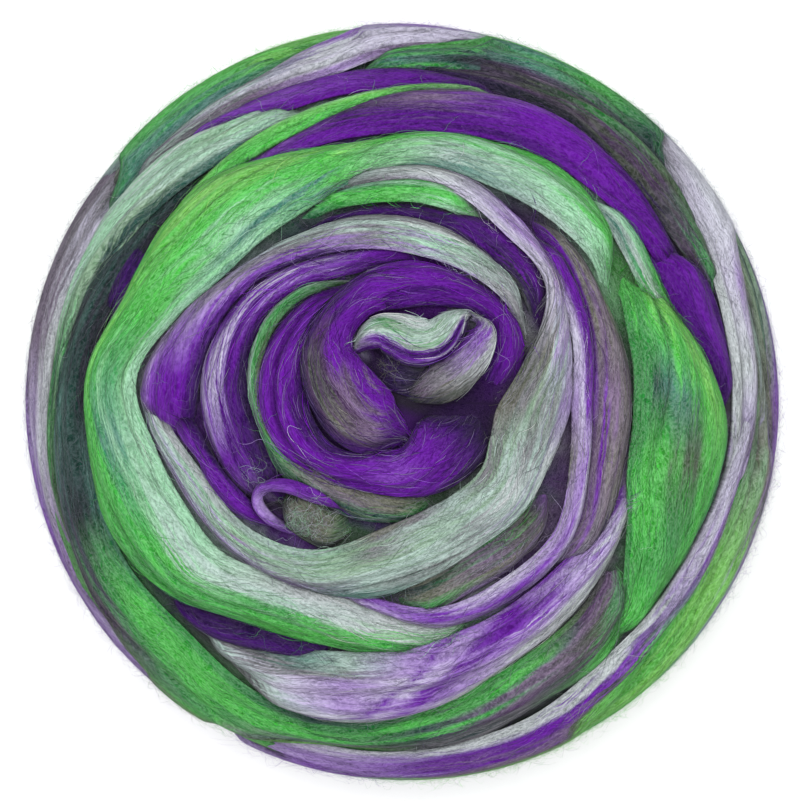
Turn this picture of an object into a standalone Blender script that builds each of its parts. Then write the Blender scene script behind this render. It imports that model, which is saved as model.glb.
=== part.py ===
"""A ball of combed wool top (roving): one soft strand wound into a flattened rosette.

The ball is modelled as a single closed solid. Each visible turn of the roving is first
laid out as a soft tube on a flattened ball shape. The solid's skin is then the outer
envelope of all the turns, with the creases between them, and a flat foot below.

Lengths in the tables are millimetres, angles are degrees, anticlockwise from +X as seen
from above. The origin is the centre of the foot, and +Z is up.
"""

from collections import namedtuple
from math import pi, radians

import bmesh
import bpy
import numpy as np
from mathutils import Vector
from mathutils.bvhtree import BVHTree

MM = 0.001

# Driving dimensions of the wound ball, in millimetres.
BALL_RADIUS = 80.0
ROVING_RELIEF = 6.0
RIM_HEIGHT = 44.0
CROWN_RISE = 48.0

# The ball under the outermost turns, which the turns lie on. Below, it reaches past the
# table's plane, so the trimmed foot is flat right across.
CORE_RADIUS = BALL_RADIUS - ROVING_RELIEF
CORE_RISE = CROWN_RISE - ROVING_RELIEF
CORE_DROP = 48.0

# Share of what stands out past the rim that is pressed back in, and where that begins.
RIM_EASE, EASED_FROM = 0.6, BALL_RADIUS - 0.5

# Seen radii of the edges hold true at their own lift up to this far from the rim.
TRUE_WITHIN = 9.0

# Cross-section of a turn: its height for its half width, and how far it sinks in.
ROUNDNESS = 0.5
LEAST_HEIGHT, MOST_HEIGHT = 1.3, 4.4
SUNK_DEPTH = 2.5
EDGE_POWER, CROWN_POWER = 0.85, 0.9
SECTION_POINTS = 18
ROW_SPACING = 2.5

# The ends of a turn are tucked under its neighbours.
TUCK_DEPTH, TUCK_LENGTH, TUCK_WIDTH = 5.0, 14.0, 0.35
SIDE_TUCK_DEPTH, SIDE_TUCK_LENGTH, SIDE_TUCK_WIDTH = 7.0, 45.0, 0.3

# The skin is sampled on a fine grid, closest on the crown, and then thinned to its
# creases and crowns.
SKIN_ANGLES, CROWN_ROWS, UNDER_ROWS = 400, 150, 70
RAY_START = 16.0
SKIN_FACES_KEPT = 0.061

WOOL_COLOUR = (0.16, 0.19, 0.15, 1.0)
WOOL_ROUGHNESS = 0.9

# A turn that runs round the ball. edges gives the seen radius of its inner and outer edge
# at every step of angle. A radius past the rim counts back inwards on the underside.
# lifts is how far it stands above the core, at places spread evenly from start to end.
Turn = namedtuple("Turn", "name first step edges lifts")

TURNS = (
    Turn("top_arch", -10, 25, (
        (11, 19), (17, 26.5), (24.5, 30), (22, 29.5), (19.5, 29.5), (20, 27.5), (22, 26)),
        (-0.5, 1.8, 2.6, 2.2)),
    Turn("rose_ring", 93, 25, (
        (24, 29), (22, 28.8), (20.8, 29.8), (19.9, 31.2), (18.4, 29.6), (15.8, 24.6), (11, 20.4),
        (9.4, 19.6), (6.2, 20.4), (5.4, 20.9), (7, 21.3), (13, 20.8)),
        (0.8, 2.0, 2.4, 3.0, 4.0, 2.4, -1.0)),
    Turn("olive_seam", 103, 22, (
        (26.3, 27.6), (29, 31), (30.6, 33.2), (29.5, 32.6), (27.3, 30.2), (23, 29.2), (20, 27),
        (19.7, 25.7), (19.9, 24.2), (20.3, 22)),
        (3.0, 3.0, 1.5)),
    Turn("violet_crescent", 70, 20, (
        (28.5, 31), (29, 32.3), (28.5, 33.7), (31, 37), (33, 40.3), (32.5, 42), (30, 41), (29, 38.5),
        (29.5, 35)),
        (1.0, 2.4, 2.4, 1.4)),
    Turn("grey_arch", 27, 19, (
        (29.5, 32), (30, 34.2), (30.2, 36), (30.8, 38.3), (32.8, 39.8), (35.5, 41.2), (39.5, 44.2),
        (41.8, 50.3), (42.5, 55), (45, 50.5)),
        (4.4, 4.2, 3.4, 1.6)),
    Turn("violet_lining", 176, 9, (
        (50.5, 53.4), (43.8, 50.3), (41.1, 44.6), (39.3, 43.5), (37.6, 41.8), (37, 40.4), (36.6, 38.6)),
        (3.4, 4.4, 3.4)),
    Turn("shaded_violet", 22, 18, (
        (29.5, 33), (33.3, 39), (33.8, 42.5), (36, 41.2), (38, 41.8), (39.5, 41.8), (43, 44.8)),
        (2.2, 1.4, 0.6)),
    Turn("mint_slip", 60, 13, (
        (40.5, 42.5), (41, 46.3), (41.8, 46.8), (42, 46.2), (43, 46), (44.8, 46.6)),
        (2.4, 3.2, 2.4)),
    Turn("pale_band", 159, 20, (
        (53.5, 55.2), (50.6, 54.6), (44, 49.8), (41.2, 47.2), (35.8, 44.4), (27.2, 41.6), (23.2, 37),
        (21.9, 34.2), (21.6, 34), (19.8, 33.5), (20.2, 35.4), (27, 37.4), (38.6, 41.8), (41.2, 45.8),
        (45.6, 49.4), (46, 48.8), (45.2, 46.6)),
        (1.6, 3.2, 4.4, 4.6, 4.4, 3.2)),
    Turn("lilac_rope", 240, 20, (
        (40.4, 41.8), (41, 43.2), (43.4, 47.6), (42.3, 47), (41.5, 45.8), (37.2, 41.6), (35.4, 39.8),
        (37.8, 42.2), (40.6, 45), (44.2, 48)),
        (2.4, 4.0, 4.6, 4.4)),
    Turn("dusk_band", 303, 20, (
        (44, 46.5), (43, 50.5), (39, 48.5), (38.5, 48.2), (41, 47.8), (44, 48.7), (47.5, 49.3)),
        (1.6, 2.4, 1.6)),
    Turn("olive_hollow", 258, 16, (
        (39, 41.5), (37, 45), (34, 42.5), (33.5, 41.5), (33.5, 39.5), (34.3, 36.5)),
        (1.0, 1.6, 1.0)),
    Turn("green_sweep", 25, 15, (
        (49.8, 51.2), (49.5, 56.8), (49, 59.2), (48.8, 58), (49.8, 56.8), (47.5, 55.2), (44.8, 57.5),
        (44.5, 61.5), (45.5, 62.3), (50.3, 62.6), (55.6, 66.4), (52.3, 66.3), (50, 66.8), (48.7, 62.8),
        (44, 56.3), (42.3, 53.5), (44, 52.7), (46.8, 50.6), (46, 47.5)),
        (3.4, 3.6, 2.0)),
    Turn("violet_lens", 212, 10, (
        (64, 65), (61, 64.6), (57.5, 63.4), (53, 60), (52, 57.3), (52, 54)),
        (0.0, 0.8, 0.4)),
    Turn("violet_white_fan", 221, 14, (
        (63.2, 63.8), (60.2, 65.3), (55.6, 68.6), (52.2, 67.8), (50, 64), (48.7, 59.6), (47.5, 57.4),
        (47.4, 55.4), (49, 52.8), (50.5, 51.5)),
        (0.6, 2.2, 2.8, 2.8, 1.2)),
    Turn("right_green", 303, 13, (
        (64, 66), (62.2, 67.8), (54.8, 67.3), (49.5, 68.3), (48.4, 69), (48.8, 64.5), (49.8, 59.5),
        (53.5, 57)),
        (2.0, 3.2, 2.6)),
    Turn("frost_sliver", -1, 9, (
        (62.5, 64.5), (59.2, 61.8), (56.4, 60), (55.4, 59.8), (56, 60.6), (57.3, 60.8), (58.8, 60.3)),
        (3.0, 3.2, 2.4)),
    Turn("violet_drop", -8, 11, (
        (67.8, 69.5), (65, 70), (61, 69.5), (59.8, 68.8), (60.5, 64.5)),
        (0.8, 2.6, 2.4)),
    Turn("violet_shoulder", 15, 15, (
        (61.5, 65), (61, 66), (60, 67.5), (59.3, 68.5), (57.8, 67), (56.5, 64.8), (56.5, 61.8),
        (56.8, 59.2), (58.5, 60.5)),
        (1.2, 2.4, 2.2, 1.8)),
    Turn("green_ribbon", 65, 17, (
        (67.6, 68.4), (65.8, 67.2), (62.2, 65.2), (60.3, 64), (60, 62.6), (60, 61.8)),
        (2.2, 3.4, 3.0)),
    Turn("violet_ribbon", 65, 12, (
        (66.8, 68), (66.8, 69.5), (65.8, 70.3), (66, 70.6), (66, 70.8), (69, 71.9), (71.5, 73)),
        (1.2, 2.8, 2.8)),
    Turn("sage_band", 103, 18, (
        (63.6, 66.2), (62.6, 69.3), (64.8, 73.2), (68, 74.6), (69.6, 75), (72.2, 77.6), (75.5, 79),
        (77.5, 79.4)),
        (2.4, 3.4, 1.6)),
    Turn("pine_band", 125, 17, (
        (61.5, 64), (62, 67), (63.5, 70.5), (66, 72.8), (66.5, 76), (67, 78.6), (66, 80), (68.3, 79.6),
        (68.5, 76), (63.5, 72.8), (59.3, 70.2), (57.2, 67.6), (52.8, 56.6)),
        (0.8, 2.4, 2.0, 1.0)),
    Turn("violet_gap", 140, 8, (
        (61.8, 63), (61.5, 64.8), (62, 66.3), (62.7, 67), (64.8, 66.8)),
        (0.4, 1.2, 0.4)),
    Turn("pine_shoulder", 12, 12, (
        (69.3, 70.8), (67.6, 72), (66.2, 74), (67.2, 76), (68.6, 76), (68.2, 75), (68, 73.5),
        (70, 71.5)),
        (1.6, 2.0, 1.6)),
    Turn("teal_shoulder", 25, 11, (
        (70.8, 72.4), (72.4, 76.2), (74, 80.5), (73.6, 82), (72.6, 82), (70.5, 79), (69, 75.5),
        (69.5, 71.5)),
        (0.8, 2.0, 2.4, 2.0)),
    Turn("frost_crest", 56, 15, (
        (79.5, 81.5), (78.6, 82), (76.5, 82), (70.6, 79), (70.8, 76.4), (72, 76), (74.6, 76)),
        (2.0, 3.2, 2.6)),
    Turn("leaf_rim", 83, 12, (
        (80.2, 82), (78.6, 82.5), (77.2, 83), (75.8, 83), (74.4, 82.5), (74, 79), (75.5, 77.2)),
        (1.6, 2.4, 2.4, 0.8)),
    Turn("mauve_rim", 134, 15, (
        (77, 81.5), (75.2, 82.5), (74.9, 83.5), (74.5, 83.8), (77.4, 84), (78.8, 84), (79.2, 83.5),
        (79.6, 82.5)),
        (1.0, 2.2, 2.4, 2.6, 1.6)),
    Turn("white_edge", 236, 14, (
        (80.2, 82.5), (77.4, 82.5), (76.2, 82), (73.2, 82), (71.6, 81), (69, 77.6), (68.4, 73.8),
        (68.6, 72.4), (70.4, 73), (73.2, 76.4), (76, 78.2), (78, 79.6)),
        (1.0, 2.8, 3.2, 3.2, 2.4)),
    Turn("lime_rim", 270, 15, (
        (80.5, 82), (79.2, 82), (77.8, 82), (75.2, 82), (73, 82), (74, 80.6), (76, 79.6), (77, 79.4),
        (78, 80)),
        (1.2, 2.2, 2.4, 2.2, 1.6)),
    Turn("heather_rim", 318, 15, (
        (79.8, 82), (78.4, 83), (77.8, 84), (78.2, 84), (78.8, 83.5), (79.2, 83), (79.6, 82.5),
        (79.8, 82)),
        (1.4, 2.6, 2.4, 1.8, 0.8)),
    Turn("frost_shoulder", -22, 12, (
        (69.6, 72), (70, 74.6), (69.9, 76), (70, 77), (71.2, 79.6), (74.6, 82), (78.8, 82.5),
        (80.6, 82.5)),
        (1.4, 2.8, 3.0, 2.6, 1.8)),
)

# Plain turns of the side and underside, which slant down as they go round. lean is the
# angle from the top pole.
SideTurn = namedtuple("SideTurn", "name first sweep lean_from lean_to half lift")

SIDE_TURNS = (
    SideTurn("base_coil_1", 60, 400, 147, 153, 12.0, 0.6),
    SideTurn("base_coil_2", 240, 400, 162, 168, 11.0, 0.6),
    SideTurn("under_sash_1", 40, 250, 116, 148, 7.5, 0.4),
    SideTurn("under_sash_2", 128, 240, 113, 150, 8.0, 2.2),
    SideTurn("under_sash_3", 214, 255, 117, 149, 7.5, 0.4),
    SideTurn("under_sash_4", 303, 240, 114, 151, 8.0, 2.0),
    SideTurn("rim_coil", 30, 400, 82, 88, 8.0, 1.0),
    SideTurn("side_sash_1", 350, 245, 83, 119, 8.0, 0.6),
    SideTurn("side_sash_2", 80, 235, 81, 121, 8.5, 2.6),
    SideTurn("side_sash_3", 168, 250, 84, 118, 7.5, 0.6),
    SideTurn("side_sash_4", 262, 240, 82, 122, 8.5, 2.4),
)

# Folds of the innermost end, as seen from above: x, y, half width and lift at each section.
Fold = namedtuple("Fold", "name height sections")

FOLDS = (
    Fold("heart_floor", 2.2, (
        (-9.0, 10.5, 4.0, 0.5), (-3.0, 9.0, 5.5, 0.8), (3.5, 7.5, 6.5, 1.2), (10.0, 9.0, 7.0, 1.6),
        (14.5, 12.0, 6.0, 1.5))),
    Fold("heart_left", 3.2, (
        (-11.8, 8.6, 1.6, 1.6), (-10.7, 11.2, 1.9, 3.6), (-8.1, 13.2, 3.0, 5.0),
        (-4.7, 14.6, 3.8, 5.6), (-0.9, 13.9, 4.8, 5.8), (2.9, 12.6, 5.3, 6.0), (7.2, 13.0, 4.6, 6.2),
        (10.5, 15.9, 3.5, 6.2), (13.1, 18.2, 2.4, 6.2), (15.1, 19.2, 1.7, 6.2), (17.4, 18.4, 1.5, 5.6))),
    Fold("heart_right", 3.2, (
        (13.4, 19.2, 1.5, 5.4), (16.4, 18.2, 1.6, 6.2), (17.3, 15.8, 2.2, 6.4), (16.6, 13.0, 3.1, 6.4),
        (14.9, 10.0, 3.9, 6.2), (12.3, 6.9, 4.2, 5.8), (9.0, 4.5, 4.5, 5.2), (5.2, 2.9, 4.2, 4.4),
        (1.5, 1.8, 3.0, 3.0), (-1.6, 2.2, 2.0, 0.5))),
    Fold("violet_throw", 3.4, (
        (12.4, 22.6, 3.2, 1.5), (4.4, 24.8, 4.6, 2.6), (-4.4, 24.4, 4.6, 3.0), (-10.2, 21.4, 4.2, 3.2),
        (-14.4, 16.5, 4.8, 3.4), (-15.9, 11.3, 5.8, 3.6), (-14.7, 6.3, 6.9, 3.9),
        (-12.0, 1.6, 7.8, 4.0), (-8.7, -2.3, 8.0, 4.2), (-4.6, -5.3, 6.9, 4.0), (0.2, -7.4, 4.4, 3.0),
        (4.6, -9.5, 2.4, 1.2))),
    Fold("hairpin", 1.6, (
        (-5.0, -26.2, 1.0, 2.0), (-11.0, -23.4, 1.4, 4.2), (-17.5, -20.2, 1.6, 4.8),
        (-24.0, -17.6, 1.5, 4.8), (-29.2, -18.0, 1.2, 4.8), (-30.4, -21.0, 1.2, 4.8),
        (-28.0, -25.0, 1.2, 4.4), (-24.4, -28.8, 1.2, 3.8), (-20.0, -32.4, 1.0, 2.2))),
    Fold("hairpin_filling", 1.6, (
        (-28.4, -20.6, 1.8, 2.0), (-23.0, -23.4, 4.2, 2.4), (-16.0, -27.0, 5.0, 2.4),
        (-8.5, -29.0, 3.6, 1.8))),
)


def clear_scene():
    for obj in list(bpy.data.objects):
        bpy.data.objects.remove(obj)


def smooth_through(values, at):
    """Catmull-Rom values at fractional positions along evenly spaced stations."""
    values = np.asarray(values, float)
    if len(values) == 1:
        return np.repeat(values, len(at), axis=0)
    before, after = 2 * values[0] - values[1], 2 * values[-1] - values[-2]
    padded = np.concatenate([[before], values, [after]])
    start = np.clip(np.floor(at).astype(int), 0, len(values) - 2)
    t = (at - start).reshape(-1, *([1] * (values.ndim - 1)))
    p0, p1, p2, p3 = (padded[start + k] for k in range(4))
    return 0.5 * (
        2 * p1
        + (p2 - p0) * t
        + (2 * p0 - 5 * p1 + 4 * p2 - p3) * t**2
        + (3 * p1 - p0 - 3 * p2 + p3) * t**3
    )


def smoothstep(x):
    x = np.clip(x, 0, 1)
    return x * x * (3 - 2 * x)


def lean_of(seen_radius, lift=ROVING_RELIEF):
    """Angle from the top pole, in radians, at which this lift is seen at this radius."""
    short = (ROVING_RELIEF - lift) * seen_radius / BALL_RADIUS
    seen_radius = seen_radius + short * smoothstep((BALL_RADIUS - seen_radius) / TRUE_WITHIN)
    over = seen_radius > BALL_RADIUS
    inside = np.where(over, 2 * BALL_RADIUS - seen_radius, seen_radius)
    lean = np.arcsin(np.clip(inside / BALL_RADIUS, 0, 1))
    return np.where(over, pi - lean, lean)


def ball_point(angle, lean, lift):
    """A point over the core, in millimetres: lift is measured outwards along out_direction."""
    upright = np.where(lean < pi / 2, CORE_RISE, CORE_DROP)
    across = (CORE_RADIUS + lift) * np.sin(lean)
    return np.stack(
        [across * np.cos(angle), across * np.sin(angle), RIM_HEIGHT + (upright + lift) * np.cos(lean)],
        axis=-1,
    )


def out_direction(angle, lean):
    return np.stack(
        [np.sin(lean) * np.cos(angle), np.sin(lean) * np.sin(angle), np.cos(lean)], axis=-1
    )


def eased(points):
    """The points with their seen radius eased in where they stand out past the rim."""
    seen = np.hypot(points[..., 0], points[..., 1])
    pressed = seen - RIM_EASE * np.maximum(0, seen - EASED_FROM)
    points[..., :2] *= (pressed / np.maximum(seen, 0.001))[..., None]
    return points


def section():
    """Across and height shares round a turn's cross-section, from the inner edge over the top."""
    around = np.linspace(0, 2 * pi, SECTION_POINTS, endpoint=False)
    c, s = -np.cos(around), np.sin(around)
    return np.sign(c) * np.abs(c) ** EDGE_POWER, np.sign(s) * np.abs(s) ** CROWN_POWER


def tucked(along, lift, depth=TUCK_DEPTH, length=TUCK_LENGTH, width=TUCK_WIDTH):
    """Lift and width share of each row, with both ends drawn down under the neighbours."""
    from_end = np.minimum(along, along[-1] - along)
    share = smoothstep(from_end / min(length, along[-1] / 3))
    return lift - depth * (1 - share), width + (1 - width) * share


def tube(angles, leans, lifts, height):
    """Rows of points of a turn. angles and leans have a column for each section point."""
    _, up = section()
    rise = np.where(up > 0, height[:, None] * up, SUNK_DEPTH * up)
    return eased(ball_point(angles, leans, lifts[:, None] + rise))


def row_count(length):
    return max(8, int(length / ROW_SPACING) + 1)


def turn_rows(turn):
    """The tube of a turn given by its seen edges."""
    edges = np.array(turn.edges, float)
    sweep = radians(turn.step) * (len(edges) - 1)
    rows = row_count(sweep * edges.mean())
    at = np.linspace(0, len(edges) - 1, rows)
    lift = smooth_through(turn.lifts, np.linspace(0, len(turn.lifts) - 1, rows))
    inner, outer = lean_of(smooth_through(edges, at), lift[:, None]).T
    angle = radians(turn.first) + radians(turn.step) * at
    along = sweep * edges.mean() * np.linspace(0, 1, rows)
    return banded(angle, inner, outer, *tucked(along, lift))


def side_turn_rows(turn):
    """The tube of a plain turn of the side."""
    sweep = radians(turn.sweep)
    rows = row_count(sweep * BALL_RADIUS)
    share = np.linspace(0, 1, rows)
    middle = np.radians(turn.lean_from + (turn.lean_to - turn.lean_from) * share)
    half = radians(turn.half)
    along = sweep * BALL_RADIUS * share
    tuck = tucked(along, turn.lift, SIDE_TUCK_DEPTH, SIDE_TUCK_LENGTH, SIDE_TUCK_WIDTH)
    return banded(radians(turn.first) + sweep * share, middle - half, middle + half, *tuck)


def banded(angle, inner, outer, lift, width):
    """The tube between two edges given as leans."""
    across, _ = section()
    middle, half = (inner + outer) / 2, (outer - inner) / 2 * width
    reach = np.hypot(BALL_RADIUS * np.cos(middle), CROWN_RISE * np.sin(middle))
    height = np.clip(ROUNDNESS * half * reach, LEAST_HEIGHT, MOST_HEIGHT)
    leans = middle[:, None] + half[:, None] * across
    return tube(np.repeat(angle[:, None], SECTION_POINTS, axis=1), leans, lift, height)


def fold_rows(fold):
    """The tube of a fold given by its centreline as seen from above."""
    sections = np.array(fold.sections, float)
    length = np.linalg.norm(np.diff(sections[:, :2], axis=0), axis=1).sum()
    rows = row_count(2 * length)
    x, y, half, lift = smooth_through(sections, np.linspace(0, len(sections) - 1, rows)).T
    way = np.stack([np.gradient(x), np.gradient(y)], axis=1)
    way /= np.linalg.norm(way, axis=1)[:, None]
    lift, width = tucked(np.linspace(0, length, rows), lift)
    across, _ = section()
    offset = (half * width)[:, None] * across
    seen_x = x[:, None] - way[:, 1:] * offset
    seen_y = y[:, None] + way[:, :1] * offset
    leans = lean_of(np.hypot(seen_x, seen_y))
    return tube(np.arctan2(seen_y, seen_x), leans, lift, np.minimum(fold.height, 1.2 * half * width))


def all_turns():
    for turn in TURNS:
        yield turn_rows(turn)
    for turn in SIDE_TURNS:
        yield side_turn_rows(turn)
    for fold in FOLDS:
        yield fold_rows(fold)


def turns_tree():
    """One search tree over the faces of every turn's tube."""
    points, faces = [], []
    for rows in all_turns():
        count, around = rows.shape[:2]
        base = len(points)
        points.extend(rows.reshape(-1, 3).tolist())
        for i in range(count - 1):
            for j in range(around):
                k = (j + 1) % around
                a, b = base + i * around, base + (i + 1) * around
                faces.append((a + j, a + k, b + k, b + j))
    return BVHTree.FromPolygons(points, faces)


def skin_leans():
    """Leans of the grid's rings, from the top pole to the bottom one, poles included."""
    crown = np.linspace(0, pi / 2, CROWN_ROWS, endpoint=False)
    under = np.linspace(pi / 2, pi, UNDER_ROWS + 1)
    return np.concatenate([crown, under])


def skin_points():
    """Grid points over the ball, each drawn down onto the outermost turn, as rings in metres."""
    tree = turns_tree()
    angle, lean = np.meshgrid(
        np.linspace(0, 2 * pi, SKIN_ANGLES, endpoint=False), skin_leans(), copy=False
    )
    starts = ball_point(angle, lean, np.full(angle.shape, RAY_START))
    inwards = -out_direction(angle, lean)
    lift = np.zeros(angle.shape)
    for place in np.ndindex(angle.shape):
        distance = tree.ray_cast(Vector(starts[place]), Vector(inwards[place]), RAY_START)[3]
        if distance is not None:
            lift[place] = RAY_START - distance
    return ball_point(angle, lean, lift) * MM


def skin_mesh():
    """A closed mesh on the grid points. The first and last rings are single poles."""
    points = skin_points()
    mesh = bmesh.new()
    top = mesh.verts.new(points[0, 0])
    rings = [[mesh.verts.new(point) for point in ring] for ring in points[1:-1]]
    bottom = mesh.verts.new(points[-1, 0])
    for j in range(SKIN_ANGLES):
        k = (j + 1) % SKIN_ANGLES
        mesh.faces.new((top, rings[0][j], rings[0][k]))
        mesh.faces.new((bottom, rings[-1][k], rings[-1][j]))
        for upper, lower in zip(rings, rings[1:]):
            mesh.faces.new((upper[j], lower[j], lower[k], upper[k]))
    return mesh


def soften(mesh, rounds=5, factor=0.5):
    """Rounds off the sharpest steps between turns, as felted fibres do."""
    for _ in range(rounds):
        bmesh.ops.smooth_vert(
            mesh, verts=mesh.verts, factor=factor, use_axis_x=True, use_axis_y=True, use_axis_z=True
        )


def wool_material():
    material = bpy.data.materials.new("wool")
    material.use_nodes = True
    shader = material.node_tree.nodes["Principled BSDF"]
    shader.inputs["Base Color"].default_value = WOOL_COLOUR
    shader.inputs["Roughness"].default_value = WOOL_ROUGHNESS
    shader.inputs["Metallic"].default_value = 0.0
    return material


def table_cutter():
    """A slab whose top is the table's plane. It trims the ball's foot flat."""
    slab = 4 * BALL_RADIUS * MM
    depth = 2 * RIM_HEIGHT * MM
    mesh = bmesh.new()
    bmesh.ops.create_cube(mesh, size=1.0)
    bmesh.ops.scale(mesh, vec=(slab, slab, depth), verts=mesh.verts)
    bmesh.ops.translate(mesh, vec=(0, 0, -depth / 2), verts=mesh.verts)
    data = bpy.data.meshes.new("table_cutter")
    mesh.to_mesh(data)
    mesh.free()
    cutter = bpy.data.objects.new("table_cutter", data)
    bpy.context.scene.collection.objects.link(cutter)
    cutter.hide_render = True
    cutter.display_type = "WIRE"
    return cutter


def wound_roving():
    mesh = skin_mesh()
    soften(mesh)
    data = bpy.data.meshes.new("wound_roving")
    mesh.to_mesh(data)
    mesh.free()
    ball = bpy.data.objects.new("wound_roving", data)
    bpy.context.scene.collection.objects.link(ball)
    data.materials.append(wool_material())
    data.shade_smooth()

    thin = ball.modifiers.new("creases_and_crowns", "DECIMATE")
    thin.ratio = SKIN_FACES_KEPT
    thin.use_collapse_triangulate = True

    foot = ball.modifiers.new("flat_foot", "BOOLEAN")
    foot.operation = "DIFFERENCE"
    foot.solver = "EXACT"
    foot.object = table_cutter()
    return ball


clear_scene()
wound_roving()
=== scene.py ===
"""Looks of the wool roving ball: every visible turn as its own combed strand, with the
colours that run along it, loose fibres laid over it, stray hairs and a fuzzy rim.

Lengths in the tables are millimetres, angles are degrees, anticlockwise from +X as seen
from above.
"""

from collections import namedtuple
from math import pi, radians

import bpy
import numpy as np
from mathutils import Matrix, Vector
from mathutils.bvhtree import BVHTree
from mathutils.kdtree import KDTree


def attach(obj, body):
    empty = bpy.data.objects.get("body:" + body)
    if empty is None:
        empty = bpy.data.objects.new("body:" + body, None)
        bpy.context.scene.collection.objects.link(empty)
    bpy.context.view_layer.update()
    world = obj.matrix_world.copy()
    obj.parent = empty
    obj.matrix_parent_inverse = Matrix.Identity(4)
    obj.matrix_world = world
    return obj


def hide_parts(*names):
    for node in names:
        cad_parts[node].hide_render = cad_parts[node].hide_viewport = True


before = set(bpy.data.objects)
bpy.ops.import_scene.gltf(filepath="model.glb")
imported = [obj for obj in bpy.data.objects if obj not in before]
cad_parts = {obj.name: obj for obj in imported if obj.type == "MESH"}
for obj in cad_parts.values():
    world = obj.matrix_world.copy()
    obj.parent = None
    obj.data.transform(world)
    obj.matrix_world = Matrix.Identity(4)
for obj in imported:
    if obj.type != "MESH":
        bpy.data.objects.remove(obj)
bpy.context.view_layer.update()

MM = 0.001
BODY, NODE, SLOT = "root", "wound_roving", "wool"

# Driving dimensions of the wound ball, the same as its solid's.
BALL_RADIUS = 80.0
ROVING_RELIEF = 6.0
RIM_HEIGHT = 44.0
CROWN_RISE = 48.0
CORE_RADIUS = BALL_RADIUS - ROVING_RELIEF
CORE_RISE = CROWN_RISE - ROVING_RELIEF
CORE_DROP = 48.0

# A bulge at the rim is drawn in by this share of what stands out past this radius.
RIM_EASE, EASED_FROM = 0.6, BALL_RADIUS - 0.5

# Over this many mm inside the rim, the allowance for a turn's height fades out.
HEIGHT_FADE = 9.0

# Cross-section of a turn.
ROUNDNESS = 0.5
LEAST_HEIGHT, MOST_HEIGHT = 1.3, 4.4
SUNK_DEPTH = 2.5
CROWN_POWER = 0.9
TUCK_DEPTH, TUCK_LENGTH, TUCK_WIDTH = 5.0, 14.0, 0.35
SIDE_TUCK_DEPTH, SIDE_TUCK_LENGTH, SIDE_TUCK_WIDTH = 7.0, 45.0, 0.3
TABLE_CLEARANCE = 0.2

# How finely a turn is built.
ROW_SPACING = 1.4
COLUMN_SPACING, SIDE_COLUMN_SPACING = 0.42, 0.9
SIDE_SPACING = 2.4
FEWEST_COLUMNS, MOST_COLUMNS, UNDER_COLUMNS = 12, 44, 3

# Relief of the combed bundles in a turn: bundles to a mm across it, changes to a mm along
# it, and height. Where a turn parts into locks there are creases, given in the same way.
BUNDLES = (
    (0.26, 0.016, 0.60),
    (0.85, 0.045, 0.28),
)
CREASES_TO_A_MM, CREASE_SPEED, CREASE_DEPTH, CREASE_WIDTH = 0.22, 0.013, 1.1, 0.24

# The width in mm from which a turn has its bundles in full, and those between which its
# creases come in.
FULL_BUNDLE_WIDTH = 6
CREASED_FROM, CREASED_FULLY = 5, 11

# How a turn's colours stray across it: how far in mm, and changes to a mm along and across.
STRAYING = (
    (0.9, 0.03, 0.25),
    (2.0, 0.022, 0.9),
    (1.3, 0.045, 1.9),
)

# The filling under the turns, which shows in the creases between them. FILLING_SHADE darkens its colours:
# painted shade for the depth of the creases.
FILLING_LIFT, FILLING_RELIEF = 0.4, 0.8
FILLING_ANGLES, FILLING_LEANS = 240, 90
FILLING_SHADE = 0.45
FILLING_NEIGHBOURS = 10

# How far aside, in mm, the wool of a turn's thin streaks comes from, and its changes to a mm.
STREAK_REACH, STREAK_SPEED, STREAKS_TO_A_MM = 3.0, 0.05, 0.8

# A slanting streak: how softly its ends and its sides fade, and how much wool it colours.
STREAK_END_FADE, STREAK_SIDE_FADE, STREAK_STRENGTH = 0.12, 1.6, 0.9

# Loose fibres that lie on the turns. Most lie along the turn, wild ones lie across it, and
# looped ones stand up in the middle. Over dark green and grey wool more of them are pale.
# FIBRE_BRIGHTNESS is the middle and spread of the logarithm of their brightness.
FIBRES_TO_A_SQUARE_MM = 0.72
SIDE_FIBRE_SHARE = 0.25
FIBRE_LENGTHS = (3.0, 9.0)
FIBRE_WIDTHS = (0.06, 0.12)
FIBRE_RISES = (0.06, 0.20)
FIBRE_POINTS = 11
FIBRE_KINK, FIBRE_BEND, FIBRE_SLANT = 0.075, 0.10, 0.12
WILD_SHARE, WILD_SLANT = 0.3, 0.35
LOOP_SHARE, LOOP_RISES = 0.12, (0.2, 0.9)
PALE_SHARE, DULL_PALE_SHARE = 0.25, 0.6
PALE_MIX = (0.08, 0.40)
DULL_BELOW, GREENISH_FROM = 0.12, 0.5
FIBRE_BRIGHTNESS = (0.12, 0.45)
DYE_SPREAD = 0.13
BURIED_FROM = 0.8
FIBRES_TO_A_PIECE = 9500
MOST_FIBRES = 26500

# Shade in the creases: the directions looked in, how far in mm, how fast the light falls
# off, and the least light left.
CREASE_RAYS, CREASE_REACH, CREASE_POWER, CREASE_LEAST = 26, 9.0, 1.25, 0.10
GOLDEN_ANGLE = 2.399963
GRAZING = 0.12
BLOCKED_LIGHT = 0.6

# Wool is darker in its mass than the lit fibres that its colour is read from.
DYE_DEPTH = 0.62
DARKEST, PALEST_FIBRE, PALEST_HAIR = 0.004, 0.6, 0.9
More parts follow.
